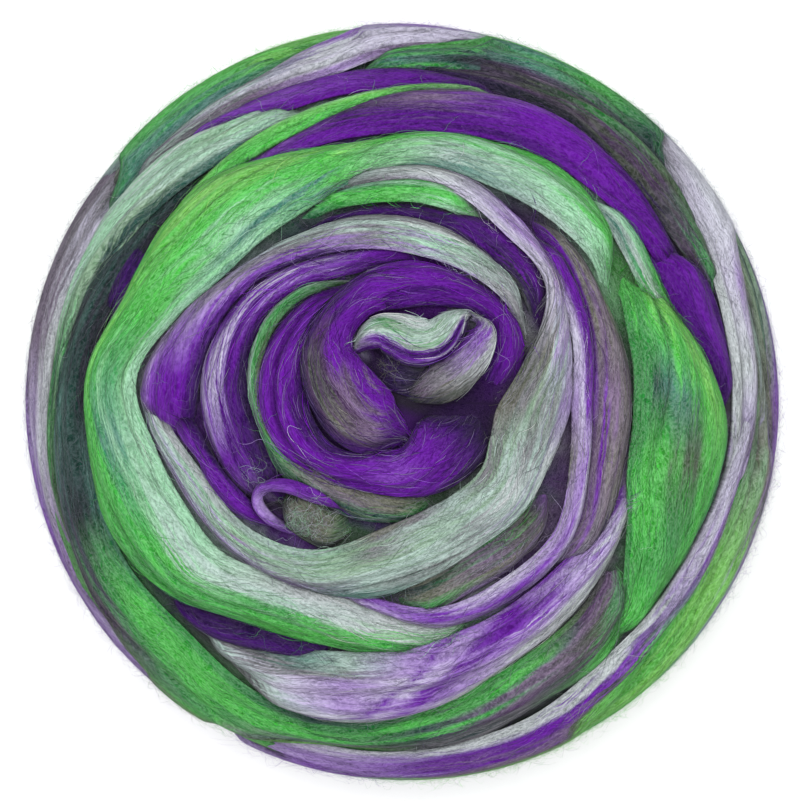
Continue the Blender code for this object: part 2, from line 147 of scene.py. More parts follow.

# Colours of the dyed wool, in sRGB. The tables below also use them for painted shade and painted
# highlights.
DYES = {
    "leaf": (70, 185, 65),
    "lime": (122, 203, 88),
    "grass": (45, 140, 60),
    "sea": (60, 120, 105),
    "pine": (30, 72, 62),
    "soot": (32, 40, 44),
    "sage": (126, 160, 128),
    "mint": (150, 205, 165),
    "frost": (165, 190, 180),
    "white": (194, 202, 203),
    "pearl": (199, 195, 217),
    "lilac": (156, 130, 190),
    "violet": (122, 60, 176),
    "purple": (98, 18, 153),
    "indigo": (64, 13, 108),
    "plum": (45, 25, 75),
    "grey": (115, 115, 120),
    "mauve": (112, 92, 122),
    "dusk": (74, 50, 88),
    "olive": (104, 107, 88),
    "moss": (66, 78, 58),
}

# A turn that runs round the ball. edges gives the seen radius of its inner and outer edge
# at every step of angle. A radius past the rim counts back inwards on the underside.
# lifts is how far it stands above the core, at places spread evenly. Its colours are named from the inner
# to the outer edge, at stations spread evenly from start to end. The dark ones (plum, soot, indigo) at a
# turn's edges and in its hollows are partly the wool's own colour and partly painted shade, where the turn
# dips under its neighbours.
Turn = namedtuple("Turn", "name first step edges lifts dyes")

TURNS = (
    Turn("top_arch", -10, 25, (
        (11, 19), (17, 26.5), (24.5, 30), (22, 29.5), (19.5, 29.5), (20, 27.5), (22, 26)),
        (-0.5, 1.8, 2.6, 2.2),
        ("plum plum", "indigo purple purple", "indigo purple purple purple",
         "indigo purple purple purple", "indigo purple purple purple", "plum indigo")),
    # rose_ring's violet at its station near 265 degrees is a painted highlight on the crown of the pillow
    # it forms at the bottom.
    Turn("rose_ring", 93, 25, (
        (24, 29), (22, 28.8), (20.8, 29.8), (19.9, 31.2), (18.4, 29.6), (15.8, 24.6), (11, 20.4),
        (9.4, 19.6), (6.2, 20.4), (5.4, 20.9), (7, 21.3), (13, 20.8)),
        (0.8, 2.0, 2.4, 3.0, 4.0, 2.4, -1.0),
        ("indigo purple", "plum indigo purple purple", "indigo purple purple purple indigo",
         "plum indigo purple purple purple", "indigo purple purple purple indigo",
         "indigo purple violet purple purple", "plum purple purple purple plum", "plum indigo plum plum",
         "plum plum")),
    Turn("olive_seam", 103, 22, (
        (26.3, 27.6), (29, 31), (30.6, 33.2), (29.5, 32.6), (27.3, 30.2), (23, 29.2), (20, 27),
        (19.7, 25.7), (19.9, 24.2), (20.3, 22)), (3.0, 3.0, 1.5),
        ("moss grey frost", "grass grass frost", "olive grass frost", "plum olive grass pine",
         "mauve olive mauve moss pine", "mauve olive moss grass pine", "olive grass pine")),
    Turn("violet_crescent", 70, 20, (
        (28.5, 31), (29, 32.3), (28.5, 33.7), (31, 37), (33, 40.3), (32.5, 42), (30, 41), (29, 38.5),
        (29.5, 35)), (1.0, 2.4, 2.4, 1.4),
        ("indigo purple", "plum purple indigo", "plum purple violet pearl purple violet",
         "plum indigo purple pearl purple purple", "plum indigo purple purple", "plum indigo grey plum")),
    Turn("grey_arch", 27, 19, (
        (29.5, 32), (30, 34.2), (30.2, 36), (30.8, 38.3), (32.8, 39.8), (35.5, 41.2), (39.5, 44.2),
        (41.8, 50.3), (42.5, 55), (45, 50.5)), (4.4, 4.2, 3.4, 1.6),
        ("moss grey white", "lilac white grey frost grey", "violet lilac frost mint white grey",
         "plum lilac grey frost frost grey", "plum violet grey grey frost",
         "indigo violet lilac grey lilac", "plum indigo purple purple violet lilac grey",
         "indigo purple purple violet")),
    Turn("violet_lining", 176, 9, (
        (50.5, 53.4), (43.8, 50.3), (41.1, 44.6), (39.3, 43.5), (37.6, 41.8), (37, 40.4), (36.6, 38.6)),
        (3.4, 4.4, 3.4),
        ("indigo purple violet", "plum indigo purple violet", "indigo purple purple", "plum purple")),
    Turn("shaded_violet", 22, 18, (
        (29.5, 33), (33.3, 39), (33.8, 42.5), (36, 41.2), (38, 41.8), (39.5, 41.8), (43, 44.8)),
        (2.2, 1.4, 0.6),
        ("plum indigo", "moss plum purple purple", "moss plum indigo plum", "plum indigo plum",
         "plum soot plum")),
    Turn("mint_slip", 60, 13, (
        (40.5, 42.5), (41, 46.3), (41.8, 46.8), (42, 46.2), (43, 46), (44.8, 46.6)), (2.4, 3.2, 2.4),
        ("grey frost", "mint leaf leaf frost", "leaf leaf grass mint", "grass leaf sea", "sea sea")),
    Turn("pale_band", 159, 20, (
        (53.5, 55.2), (50.6, 54.6), (44, 49.8), (41.2, 47.2), (35.8, 44.4), (27.2, 41.6), (23.2, 37),
        (21.9, 34.2), (21.6, 34), (19.8, 33.5), (20.2, 35.4), (27, 37.4), (38.6, 41.8), (41.2, 45.8),
        (45.6, 49.4), (46, 48.8), (45.2, 46.6)), (1.6, 3.2, 4.4, 4.6, 4.4, 3.2),
        ("grey lilac", "grey white frost lilac", "white frost mint frost lilac grey",
         "frost sage mint sage frost lilac mauve", "frost mint sage frost grey lilac grey",
         "olive grey sage frost frost frost sea", "grey frost sage frost frost grey frost",
         "frost sage frost grey frost white frost", "grey sage frost white frost lilac frost",
         "grey sage frost grey frost violet white", "olive grey sage grey frost lilac",
         "moss grey olive frost lilac pearl", "grey pearl lilac pearl", "pearl lilac violet",
         "pearl white grey", "grey frost", "frost sea")),
    Turn("lilac_rope", 240, 20, (
        (40.4, 41.8), (41, 43.2), (43.4, 47.6), (42.3, 47), (41.5, 45.8), (37.2, 41.6), (35.4, 39.8),
        (37.8, 42.2), (40.6, 45), (44.2, 48)), (2.4, 4.0, 4.6, 4.4),
        ("lilac grey", "violet lilac pearl", "lilac purple violet lilac grey",
         "pearl lilac purple purple lilac", "grey lilac purple lilac white",
         "olive lilac violet pearl mauve", "lilac pearl purple violet mauve",
         "pearl lilac purple purple plum", "lilac purple purple plum", "purple plum")),
    Turn("dusk_band", 303, 20, (
        (44, 46.5), (43, 50.5), (39, 48.5), (38.5, 48.2), (41, 47.8), (44, 48.7), (47.5, 49.3)),
        (1.6, 2.4, 1.6),
        ("plum purple", "violet mauve grey plum", "purple mauve olive mauve olive plum",
         "violet mauve mauve olive mauve moss", "purple mauve olive mauve olive grass",
         "purple olive plum", "plum plum")),
    Turn("olive_hollow", 258, 16, (
        (39, 41.5), (37, 45), (34, 42.5), (33.5, 41.5), (33.5, 39.5), (34.3, 36.5)), (1.0, 1.6, 1.0),
        ("plum pine grass", "pine olive grass mauve", "grass mauve olive lilac",
         "leaf moss mauve olive lilac", "plum purple mauve")),
    Turn("green_sweep", 25, 15, (
        (49.8, 51.2), (49.5, 56.8), (49, 59.2), (48.8, 58), (49.8, 56.8), (47.5, 55.2), (44.8, 57.5),
        (44.5, 61.5), (45.5, 62.3), (50.3, 62.6), (55.6, 66.4), (52.3, 66.3), (50, 66.8), (48.7, 62.8),
        (44, 56.3), (42.3, 53.5), (44, 52.7), (46.8, 50.6), (46, 47.5)), (3.4, 3.6, 2.0),
        ("mint leaf", "frost mint mint leaf leaf", "sea frost mint leaf", "sea leaf leaf leaf lime leaf",
         "sea mint leaf leaf lime lime leaf", "mint leaf leaf leaf lime leaf",
         "mint mint sea leaf leaf lime", "mint frost leaf leaf grass leaf sea",
         "white frost grass leaf leaf", "white white leaf grass", "white grass")),
    Turn("violet_lens", 212, 10, (
        (64, 65), (61, 64.6), (57.5, 63.4), (53, 60), (52, 57.3), (52, 54)), (0.0, 0.8, 0.4),
        ("plum plum", "plum indigo plum", "plum indigo plum", "plum indigo plum")),
    Turn("violet_white_fan", 221, 14, (
        (63.2, 63.8), (60.2, 65.3), (55.6, 68.6), (52.2, 67.8), (50, 64), (48.7, 59.6), (47.5, 57.4),
        (47.4, 55.4), (49, 52.8), (50.5, 51.5)), (0.6, 2.2, 2.8, 2.8, 1.2),
        ("grey moss", "moss grey frost grey moss", "sea grey pearl frost grey moss",
         "frost grey lilac lilac lilac pearl frost white",
         "lilac lilac pearl lilac violet lilac lilac white",
         "violet lilac lilac lilac lilac lilac white white",
         "lilac purple violet lilac pearl white white", "violet lilac purple lilac white white white",
         "violet lilac pearl violet white white", "violet lilac white white", "violet pearl")),
    Turn("right_green", 303, 13, (
        (64, 66), (62.2, 67.8), (54.8, 67.3), (49.5, 68.3), (48.4, 69), (48.8, 64.5), (49.8, 59.5),
        (53.5, 57)), (2.0, 3.2, 2.6),
        ("grass leaf", "grass leaf grass", "grass leaf grass grass leaf grass sea",
         "grass leaf moss leaf leaf sea", "grass pine sea leaf lime leaf lime",
         "grass leaf leaf lime leaf", "leaf leaf")),
    Turn("frost_sliver", -1, 9, (
        (62.5, 64.5), (59.2, 61.8), (56.4, 60), (55.4, 59.8), (56, 60.6), (57.3, 60.8), (58.8, 60.3)),
        (3.0, 3.2, 2.4),
        ("leaf leaf", "leaf frost leaf", "grass white grass leaf", "sea frost mint sea",
         "frost mint frost")),
    Turn("violet_drop", -8, 11, (
        (67.8, 69.5), (65, 70), (61, 69.5), (59.8, 68.8), (60.5, 64.5)), (0.8, 2.6, 2.4),
        ("plum indigo", "indigo purple indigo", "purple purple indigo plum")),
    Turn("violet_shoulder", 15, 15, (
        (61.5, 65), (61, 66), (60, 67.5), (59.3, 68.5), (57.8, 67), (56.5, 64.8), (56.5, 61.8),
        (56.8, 59.2), (58.5, 60.5)), (1.2, 2.4, 2.2, 1.8),
        ("indigo plum", "purple indigo", "purple purple purple indigo",
         "indigo purple purple purple violet dusk", "plum purple indigo mauve purple mauve moss",
         "purple purple plum mauve olive", "purple violet plum", "purple dusk")),
    Turn("green_ribbon", 65, 17, (
        (67.6, 68.4), (65.8, 67.2), (62.2, 65.2), (60.3, 64), (60, 62.6), (60, 61.8)), (2.2, 3.4, 3.0),
        ("grey grass", "leaf lime mint", "leaf leaf lime", "leaf lime leaf")),
    Turn("violet_ribbon", 65, 12, (
        (66.8, 68), (66.8, 69.5), (65.8, 70.3), (66, 70.6), (66, 70.8), (69, 71.9), (71.5, 73)),
        (1.2, 2.8, 2.8),
        ("plum soot", "purple indigo", "purple violet purple", "purple purple")),
    Turn("sage_band", 103, 18, (
        (63.6, 66.2), (62.6, 69.3), (64.8, 73.2), (68, 74.6), (69.6, 75), (72.2, 77.6), (75.5, 79),
        (77.5, 79.4)), (2.4, 3.4, 1.6),
        ("frost mint", "sea frost mint sage mint frost white", "pine sage frost mint frost mint white",
         "pine sage sage mint frost frost white", "soot pine grass sage grey white",
         "grass moss grass grey white", "grass olive grey lilac", "lilac lilac")),
    Turn("pine_band", 125, 17, (
        (61.5, 64), (62, 67), (63.5, 70.5), (66, 72.8), (66.5, 76), (67, 78.6), (66, 80), (68.3, 79.6),
        (68.5, 76), (63.5, 72.8), (59.3, 70.2), (57.2, 67.6), (52.8, 56.6)), (0.8, 2.4, 2.0, 1.0),
        ("soot pine", "soot pine soot", "soot pine soot grass", "soot pine sea pine grass moss",
         "sea pine soot pine dusk pine sea grass", "grass leaf grass dusk moss grey grass mauve",
         "grass leaf leaf grass leaf olive moss lime", "pine grass leaf grass grey sea moss lime",
         "grass leaf pine soot grey pine grey soot", "leaf grass mauve dusk grey soot grey soot",
         "moss dusk mauve moss grass dusk leaf leaf pine", "dusk mauve grass leaf")),
    Turn("violet_gap", 140, 8, (
        (61.8, 63), (61.5, 64.8), (62, 66.3), (62.7, 67), (64.8, 66.8)), (0.4, 1.2, 0.4),
        ("plum plum", "plum indigo plum", "plum plum")),
    Turn("pine_shoulder", 12, 12, (
        (69.3, 70.8), (67.6, 72), (66.2, 74), (67.2, 76), (68.6, 76), (68.2, 75), (68, 73.5), (70, 71.5)),
        (1.6, 2.0, 1.6),
        ("plum moss", "moss dusk grass moss mauve pine", "plum moss dusk moss grass dusk pine",
         "soot moss dusk grass moss soot pine", "soot dusk moss soot mauve pine",
         "plum soot dusk soot pine", "soot pine")),
    Turn("teal_shoulder", 25, 11, (
        (70.8, 72.4), (72.4, 76.2), (74, 80.5), (73.6, 82), (72.6, 82), (70.5, 79), (69, 75.5),
        (69.5, 71.5)), (0.8, 2.0, 2.4, 2.0),
        ("soot moss", "soot pine sea", "soot pine grass sea sea", "dusk grass leaf lime lime lime",
         "dusk sea leaf lime lime lime", "soot pine grass leaf leaf grass", "pine sea grass leaf sea sea",
         "soot pine sea")),
    Turn("frost_crest", 56, 15, (
        (79.5, 81.5), (78.6, 82), (76.5, 82), (70.6, 79), (70.8, 76.4), (72, 76), (74.6, 76)),
        (2.0, 3.2, 2.6),
        ("frost grey", "lilac white grey", "mauve pearl violet lilac white",
         "lilac pearl white violet pearl lilac", "mauve grey pearl frost grey mauve",
         "grey frost mauve frost grey", "grey sea")),
    # The rim turns, leaf_rim, lime_rim and heather_rim, are dyed with much lime: partly the wool's own
    # yellow-green edge, partly a painted highlight that lightens the rim where it faces sideways.
    Turn("leaf_rim", 83, 12, (
        (80.2, 82), (78.6, 82.5), (77.2, 83), (75.8, 83), (74.4, 82.5), (74, 79), (75.5, 77.2)),
        (1.6, 2.4, 2.4, 0.8),
        ("leaf lime", "leaf lime lime", "grass lime lime", "sea leaf lime lime", "sea leaf grass lime",
         "sea grass leaf", "grey grass")),
    Turn("mauve_rim", 134, 15, (
        (77, 81.5), (75.2, 82.5), (74.9, 83.5), (74.5, 83.8), (77.4, 84), (78.8, 84), (79.2, 83.5),
        (79.6, 82.5)), (1.0, 2.2, 2.4, 2.6, 1.6),
        ("grey mauve lilac", "pearl grey mauve grey violet lilac", "white mauve grey lilac mauve violet",
         "white pearl violet lilac lilac pearl", "mauve lilac violet lilac lilac",
         "pearl lilac lilac violet lilac", "mauve lilac pearl")),
    Turn("white_edge", 236, 14, (
        (80.2, 82.5), (77.4, 82.5), (76.2, 82), (73.2, 82), (71.6, 81), (69, 77.6), (68.4, 73.8),
        (68.6, 72.4), (70.4, 73), (73.2, 76.4), (76, 78.2), (78, 79.6)), (1.0, 2.8, 3.2, 3.2, 2.4),
        ("pearl lilac", "pearl lilac violet lilac lilac pearl mauve",
         "white purple mauve lime lime lime lime",
         "white purple purple mauve moss lime lime lime lime lime",
         "white purple violet moss leaf leaf leaf lime", "white pearl violet lilac moss",
         "white pearl lilac grey", "white white frost olive", "frost lilac")),
    Turn("lime_rim", 270, 15, (
        (80.5, 82), (79.2, 82), (77.8, 82), (75.2, 82), (73, 82), (74, 80.6), (76, 79.6), (77, 79.4),
        (78, 80)), (1.2, 2.2, 2.4, 2.2, 1.6),
        ("mauve lime", "olive leaf lime", "leaf lime leaf lime lime",
         "leaf lime lime lilac lilac lime lime lime", "leaf sage olive lilac violet lime",
         "sage olive frost sage violet", "olive grey")),
    Turn("heather_rim", 318, 15, (
        (79.8, 82), (78.4, 83), (77.8, 84), (78.2, 84), (78.8, 83.5), (79.2, 83), (79.6, 82.5),
        (79.8, 82)), (1.4, 2.6, 2.4, 1.8, 0.8),
        ("lime lilac", "lilac violet lilac lime lime lime", "frost olive violet violet lilac lilac",
         "olive sage violet lilac violet", "sage frost lilac violet", "lilac violet")),
    Turn("frost_shoulder", -22, 12, (
        (69.6, 72), (70, 74.6), (69.9, 76), (70, 77), (71.2, 79.6), (74.6, 82), (78.8, 82.5),
        (80.6, 82.5)), (1.4, 2.8, 3.0, 2.6, 1.8),
        ("white pearl", "white lilac pearl", "white white pearl", "white pearl lilac pearl",
         "pearl white pearl", "grey pearl pearl", "grey frost")),
)

# A streak of colour that slants across a turn. Its ends are given as shares of the turn's
# length and width, and half is half its width in mm.
Streak = namedtuple("Streak", "turn dye start end half")

STREAKS = (
    Streak("violet_white_fan", "purple", (0.24, 1.00), (0.34, 0.62), 1.0),
    Streak("violet_white_fan", "purple", (0.34, 0.62), (0.47, 0.02), 0.9),
    Streak("violet_white_fan", "violet", (0.37, 0.80), (0.49, 0.30), 1.3),
    Streak("violet_white_fan", "purple", (0.42, 0.55), (0.62, 0.08), 1.8),
)

# Plain turns of the side and underside, which slant down as they go round. lean is the
# angle from the top pole.
SideTurn = namedtuple("SideTurn", "name first sweep lean_from lean_to half lift dyes")

SIDE_TURNS = (
    SideTurn("base_coil_1", 60, 400, 147, 153, 12.0, 0.6,
             ("violet purple", "pearl lilac", "mint leaf", "sea grass", "purple indigo")),
    SideTurn("base_coil_2", 240, 400, 162, 168, 11.0, 0.6,
             ("leaf grass", "frost mint", "lilac purple", "grey lilac", "grass leaf")),
    SideTurn("under_sash_1", 40, 250, 116, 148, 7.5, 0.4,
             ("purple indigo plum", "violet purple grey", "lilac pearl white", "mint leaf lime")),
    SideTurn("under_sash_2", 128, 240, 113, 150, 8.0, 2.2,
             ("leaf lime grass", "mint frost leaf", "white grey olive", "lilac violet purple")),
    SideTurn("under_sash_3", 214, 255, 117, 149, 7.5, 0.4,
             ("pine grass soot", "leaf grass pine", "white mint leaf", "pearl lilac grey")),
    SideTurn("under_sash_4", 303, 240, 114, 151, 8.0, 2.0,
             ("white pearl lilac", "purple violet lilac", "indigo purple plum", "grey olive grass")),
    SideTurn("rim_coil", 30, 400, 82, 88, 8.0, 1.0,
             ("purple plum", "grey olive", "leaf olive", "grass leaf", "lilac grey")),
    SideTurn("side_sash_1", 350, 245, 83, 119, 8.0, 0.6,
             ("lilac violet grey", "leaf lime mint", "grass leaf sea", "pine sea olive")),
    SideTurn("side_sash_2", 80, 235, 81, 121, 8.5, 2.6,
             ("lime leaf grass", "lime leaf sea", "violet pearl grey", "lilac pearl white",
              "white lilac violet purple", "violet purple", "indigo purple plum")),
    SideTurn("side_sash_3", 168, 250, 84, 118, 7.5, 0.6,
             ("violet lilac grey", "purple indigo plum", "olive grass leaf", "leaf mint frost")),
    SideTurn("side_sash_4", 262, 240, 82, 122, 8.5, 2.4,
             ("lime leaf frost", "lime mint frost", "lilac leaf grass", "leaf lime grass",
              "mint frost white", "pearl lilac violet", "lilac purple indigo")),
)

# Folds of the innermost end, as seen from above: x, y, half width and lift at each section.
# The colours run from the right hand side of the way along it to the left hand side. Their plum ends are
# partly the wool's own colour and partly painted shade, in the slot and hollow of the heart and along the
# throw's left edge.
Fold = namedtuple("Fold", "name height sections dyes")

FOLDS = (
    Fold("heart_floor", 2.2, (
        (-9.0, 10.5, 4.0, 0.5), (-3.0, 9.0, 5.5, 0.8), (3.5, 7.5, 6.5, 1.2), (10.0, 9.0, 7.0, 1.6),
        (14.5, 12.0, 6.0, 1.5)),
        ("plum plum", "plum plum", "plum moss plum plum", "plum indigo plum")),
    Fold("heart_left", 3.2, (
        (-11.8, 8.6, 1.6, 1.6), (-10.7, 11.2, 1.9, 3.6), (-8.1, 13.2, 3.0, 5.0), (-4.7, 14.6, 3.8, 5.6),
        (-0.9, 13.9, 4.8, 5.8), (2.9, 12.6, 5.3, 6.0), (7.2, 13.0, 4.6, 6.2), (10.5, 15.9, 3.5, 6.2),
        (13.1, 18.2, 2.4, 6.2), (15.1, 19.2, 1.7, 6.2), (17.4, 18.4, 1.5, 5.6)),
        ("plum purple lilac white", "indigo purple lilac white frost white",
         "plum indigo purple lilac frost sage grass frost white",
         "plum indigo purple white frost sage grass frost white",
         "plum indigo purple white frost sage frost frost", "plum indigo white frost frost white",
         "plum white frost white")),
    Fold("heart_right", 3.2, (
        (13.4, 19.2, 1.5, 5.4), (16.4, 18.2, 1.6, 6.2), (17.3, 15.8, 2.2, 6.4), (16.6, 13.0, 3.1, 6.4),
        (14.9, 10.0, 3.9, 6.2), (12.3, 6.9, 4.2, 5.8), (9.0, 4.5, 4.5, 5.2), (5.2, 2.9, 4.2, 4.4),
        (1.5, 1.8, 3.0, 3.0), (-1.6, 2.2, 2.0, 0.5)),
        ("purple white white", "indigo purple violet white white",
         "indigo purple violet lilac white white", "indigo purple lilac grey white grey",
         "plum mauve grey olive grey moss", "plum moss mauve moss plum", "plum soot plum")),
    Fold("violet_throw", 3.4, (
        (12.4, 22.6, 3.2, 1.5), (4.4, 24.8, 4.6, 2.6), (-4.4, 24.4, 4.6, 3.0), (-10.2, 21.4, 4.2, 3.2),
        (-14.4, 16.5, 4.8, 3.4), (-15.9, 11.3, 5.8, 3.6), (-14.7, 6.3, 6.9, 3.9), (-12.0, 1.6, 7.8, 4.0),
        (-8.7, -2.3, 8.0, 4.2), (-4.6, -5.3, 6.9, 4.0), (0.2, -7.4, 4.4, 3.0), (4.6, -9.5, 2.4, 1.2)),
        ("purple purple", "purple purple purple", "indigo purple purple purple",
         "plum indigo purple purple", "plum indigo dusk purple purple purple",
         "plum dusk moss dusk purple purple purple", "plum dusk moss dusk mauve purple purple",
         "plum dusk olive dusk mauve purple purple", "indigo dusk mauve purple purple",
         "indigo indigo purple", "plum indigo plum")),
    Fold("hairpin", 1.6, (
        (-5.0, -26.2, 1.0, 2.0), (-11.0, -23.4, 1.4, 4.2), (-17.5, -20.2, 1.6, 4.8),
        (-24.0, -17.6, 1.5, 4.8), (-29.2, -18.0, 1.2, 4.8), (-30.4, -21.0, 1.2, 4.8),
        (-28.0, -25.0, 1.2, 4.4), (-24.4, -28.8, 1.2, 3.8), (-20.0, -32.4, 1.0, 2.2)),
        ("violet purple", "purple violet", "violet lilac", "purple violet")),
    Fold("hairpin_filling", 1.6, (
        (-28.4, -20.6, 1.8, 2.0), (-23.0, -23.4, 4.2, 2.4), (-16.0, -27.0, 5.0, 2.4),
        (-8.5, -29.0, 3.6, 1.8)),
        ("soot moss", "moss soot olive soot", "soot moss olive moss soot", "moss grass pine")),
)

# Stray hairs that can be told apart: the points each lies over, as seen from above.
Hair = namedtuple("Hair", "name dye points")

HAIRS = (
    Hair("hair_top", "white", ((12.4, 57.9), (13.2, 54.0), (12.2, 51.0), (13.5, 48.4))),
    Hair("hair_left_1", "pearl", (
        (-20.6, -5.2), (-23.2, -5.0), (-22.8, -7.6), (-21.4, -9.6), (-18.4, -12.6))),
    Hair("hair_left_2", "lilac", ((-34.3, -8.0), (-31.0, -8.6), (-28.5, -7.6), (-23.7, -10.8))),
    Hair("hair_right", "lilac", ((13.8, 11.4), (17.6, 10.6), (20.6, 10.2), (22.2, 8.0), (21.0, 5.4))),
)

# Places where the ends of fibres stand up in a tangle: the middle and reach of each.
Tangle = namedtuple("Tangle", "name dyes x y reach hairs")

TANGLES = (
    Tangle("hairpin_tangle", "frost olive pearl white mint", -20.5, -25.5, 5.8, 200),
    Tangle("hairpin_tail", "olive moss frost", -11.0, -28.0, 4.0, 30),
    Tangle("heart_tangle", "olive mauve grey", -4.5, 8.0, 3.5, 26),
    Tangle("hollow_tangle", "olive lilac frost", 25.0, -31.0, 5.0, 36),
    Tangle("seam_tangle", "moss frost", -29.5, -14.0, 3.5, 20),
)
TANGLE_LENGTHS, TANGLE_SPREAD = (3.0, 9.0), 2.2
TANGLE_TURN, TANGLE_CURL, TANGLE_BRIGHT = 0.16, 0.35, (0.6, 1.4)

# Curly hairs strewn at random over the crown.
STRAY_HAIRS = 800
STRAY_LENGTHS = (4.0, 16.0)
STRAY_TURN, STRAY_CURL, STRAY_BRIGHT, STRAY_PALE = 0.06, 0.42, (0.8, 1.5), (0.02, 0.28)
STRAY_FIELD, STRAY_LIMIT = 78, 78.5
STRAY_WIDTH, NAMED_HAIR_WIDTH = 0.04, 0.08
HAIR_POINTS = 25

# The fringe at the rim. Its hairs are rooted within RIM_ROOTS mm of the widest point of
# each sector. Most are short.
RIM_HAIRS, RIM_HAIR_WIDTH, RIM_HAIR_POINTS = 8500, 0.06, 4
RIM_SECTORS, RIM_ROOTS = 240, 1.0
RIM_SHORT_SHARE, RIM_SHORT, RIM_LONG = 0.75, (1.2, 3.5), (3.0, 7.0)
RIM_STAND, MOST_RIM_STAND = 0.6, 2.6
RIM_SLOPE, RIM_ARCH, RIM_CURL = 0.25, (0.4, 1.0), 0.25
# RIM_BRIGHT and RIM_PALE lighten the fringe beyond the wool it grows from: partly paler fibres, partly a
# painted highlight on the fringe against the backdrop.
RIM_BRIGHT, RIM_PALE = (1.0, 1.9), (0.02, 0.22)

# The turns of the middle and inner piece end at these places in TURNS.
MIDDLE_END, INNER_END = 6, 13

# Studio, in metres. A light's place, size and watts.
KEY_LIGHT = ((-0.15, 0.30, 1.5), 1.1, 24.0)
FILL_LIGHT = ((0.25, -0.30, 1.5), 1.2, 12.0)
LIGHTS_AIM = (0, 0, 0.04)
SKY_STRENGTH = 0.55
FLOOR_HALF = 3.0

# Camera, in mm: it looks straight down.
LENS, SENSOR = 400.0, 36.0
FRAME_WIDTH = 170.2
VIEW_CENTRE = (-0.2, 0.4)


# ---------------------------------------------------------------- small helpers


def linear(srgb):
    share = np.asarray(srgb, float) / 255
    return np.where(share <= 0.04045, share / 12.92, ((share + 0.055) / 1.055) ** 2.4)


def dye(name):
    return DYE_DEPTH * linear(DYES[name])


def smoothstep(x):
    x = np.clip(x, 0, 1)
    return x * x * (3 - 2 * x)


def smooth_through(values, at):
    """Catmull-Rom values at fractional positions along evenly spaced stations."""
    values = np.asarray(values, float)
    before, after = 2 * values[0] - values[1], 2 * values[-1] - values[-2]
    padded = np.concatenate([[before], values, [after]])
    start = np.clip(np.floor(at).astype(int), 0, len(values) - 2)
    t = (at - start).reshape(-1, *([1] * (values.ndim - 1)))
    p0, p1, p2, p3 = (padded[start + k] for k in range(4))
    return 0.5 * (
        2 * p1
        + (p2 - p0) * t
        + (2 * p0 - 5 * p1 + 4 * p2 - p3) * t**2
        + (3 * p1 - p0 - 3 * p2 + p3) * t**3
    )


def rolling(x, y, seed):
    """Smooth noise from -1 to 1, about one hump to each unit of x and y."""
    table = np.random.default_rng(seed).uniform(-1, 1, (128, 128))
    xi, yi = np.floor(x).astype(int), np.floor(y).astype(int)
    fx, fy = smoothstep(x - xi), smoothstep(y - yi)
    near = table[xi % 128, yi % 128] * (1 - fx) + table[(xi + 1) % 128, yi % 128] * fx
    far = table[xi % 128, (yi + 1) % 128] * (1 - fx) + table[(xi + 1) % 128, (yi + 1) % 128] * fx
    return near * (1 - fy) + far * fy


def unit(vectors):
    return vectors / np.maximum(np.linalg.norm(vectors, axis=-1, keepdims=True), 1e-12)


# ---------------------------------------------------------------- the ball's form


def lean_of(seen_radius, lift=ROVING_RELIEF):
    """The lean at which a point at this lift is seen at this radius. It eases off by the rim."""
    short = (ROVING_RELIEF - lift) * seen_radius / BALL_RADIUS
    seen_radius = seen_radius + short * smoothstep((BALL_RADIUS - seen_radius) / HEIGHT_FADE)
    over = seen_radius > BALL_RADIUS
    inside = np.where(over, 2 * BALL_RADIUS - seen_radius, seen_radius)
    lean = np.arcsin(np.clip(inside / BALL_RADIUS, 0, 1))
    return np.where(over, pi - lean, lean)


def ball_point(angle, lean, lift):
    upright = np.where(lean < pi / 2, CORE_RISE, CORE_DROP)
    across = (CORE_RADIUS + lift) * np.sin(lean)
    across = across - RIM_EASE * np.maximum(0, across - EASED_FROM)
    height = RIM_HEIGHT + (upright + lift) * np.cos(lean)
    return np.stack([across * np.cos(angle), across * np.sin(angle), height], axis=-1)


def out_direction(points):
    """Outwards from the ball's middle plane, at these points."""
    return unit(points - np.array([0, 0, RIM_HEIGHT]))


def tucked(along, lift, depth=TUCK_DEPTH, length=TUCK_LENGTH, width=TUCK_WIDTH):
    from_end = np.minimum(along, along[-1] - along)
    share = smoothstep(from_end / min(length, along[-1] / 3))
    return lift - depth * (1 - share), width + (1 - width) * share


def dye_grid(dyes, rows, shares):
    """Colours over a turn, in linear RGB: rows along it, columns at shares of its width."""
    stations = []
    for names in dyes:
        bands = np.array([dye(name) for name in names.split()])
        at = shares * (len(bands) - 1)
        low = np.clip(np.floor(at).astype(int), 0, len(bands) - 2)
        blend = smoothstep(at - low)[..., None]
        stations.append(bands[low] * (1 - blend) + bands[low + 1] * blend)
    stations = np.array(stations)
    at = np.linspace(0, len(dyes) - 1, rows)
    low = np.clip(np.floor(at).astype(int), 0, len(dyes) - 2)
    blend = (at - low)[:, None, None]
    row = np.arange(rows)
    return stations[low, row] * (1 - blend) + stations[low + 1, row] * blend


def streak_cover(streak, along, shares, width, seed):
    """How much of a streak's colour each point of a turn's grid takes."""
    share = along[:, None] / along[-1]
    (first, from_side), (last, to_side) = streak.start, streak.end
    passed = (share - first) / (last - first)
    middle = from_side + (to_side - from_side) * np.clip(passed, 0, 1)
    ragged = 0.5 * rolling(along[:, None] * 0.2, shares * 9, seed)
    off = np.abs(shares - middle) * width[:, None] + ragged
    started = smoothstep((passed + STREAK_END_FADE) / STREAK_END_FADE)
    ended = smoothstep((1 + STREAK_END_FADE - passed) / STREAK_END_FADE)
    sides = smoothstep(STREAK_SIDE_FADE - off / streak.half)
    return (started * ended * sides)[..., None] * STREAK_STRENGTH


# A built turn. By row and column of its upper surface: points, normals, colours, the
# colours of its streaks (others), the light that reaches it (shade) and the distance across
# it. By row: the distance along it, and rings, the closed ring of points at each row.
Strand = namedtuple("Strand", "name points normals colours others shade along across rings side")


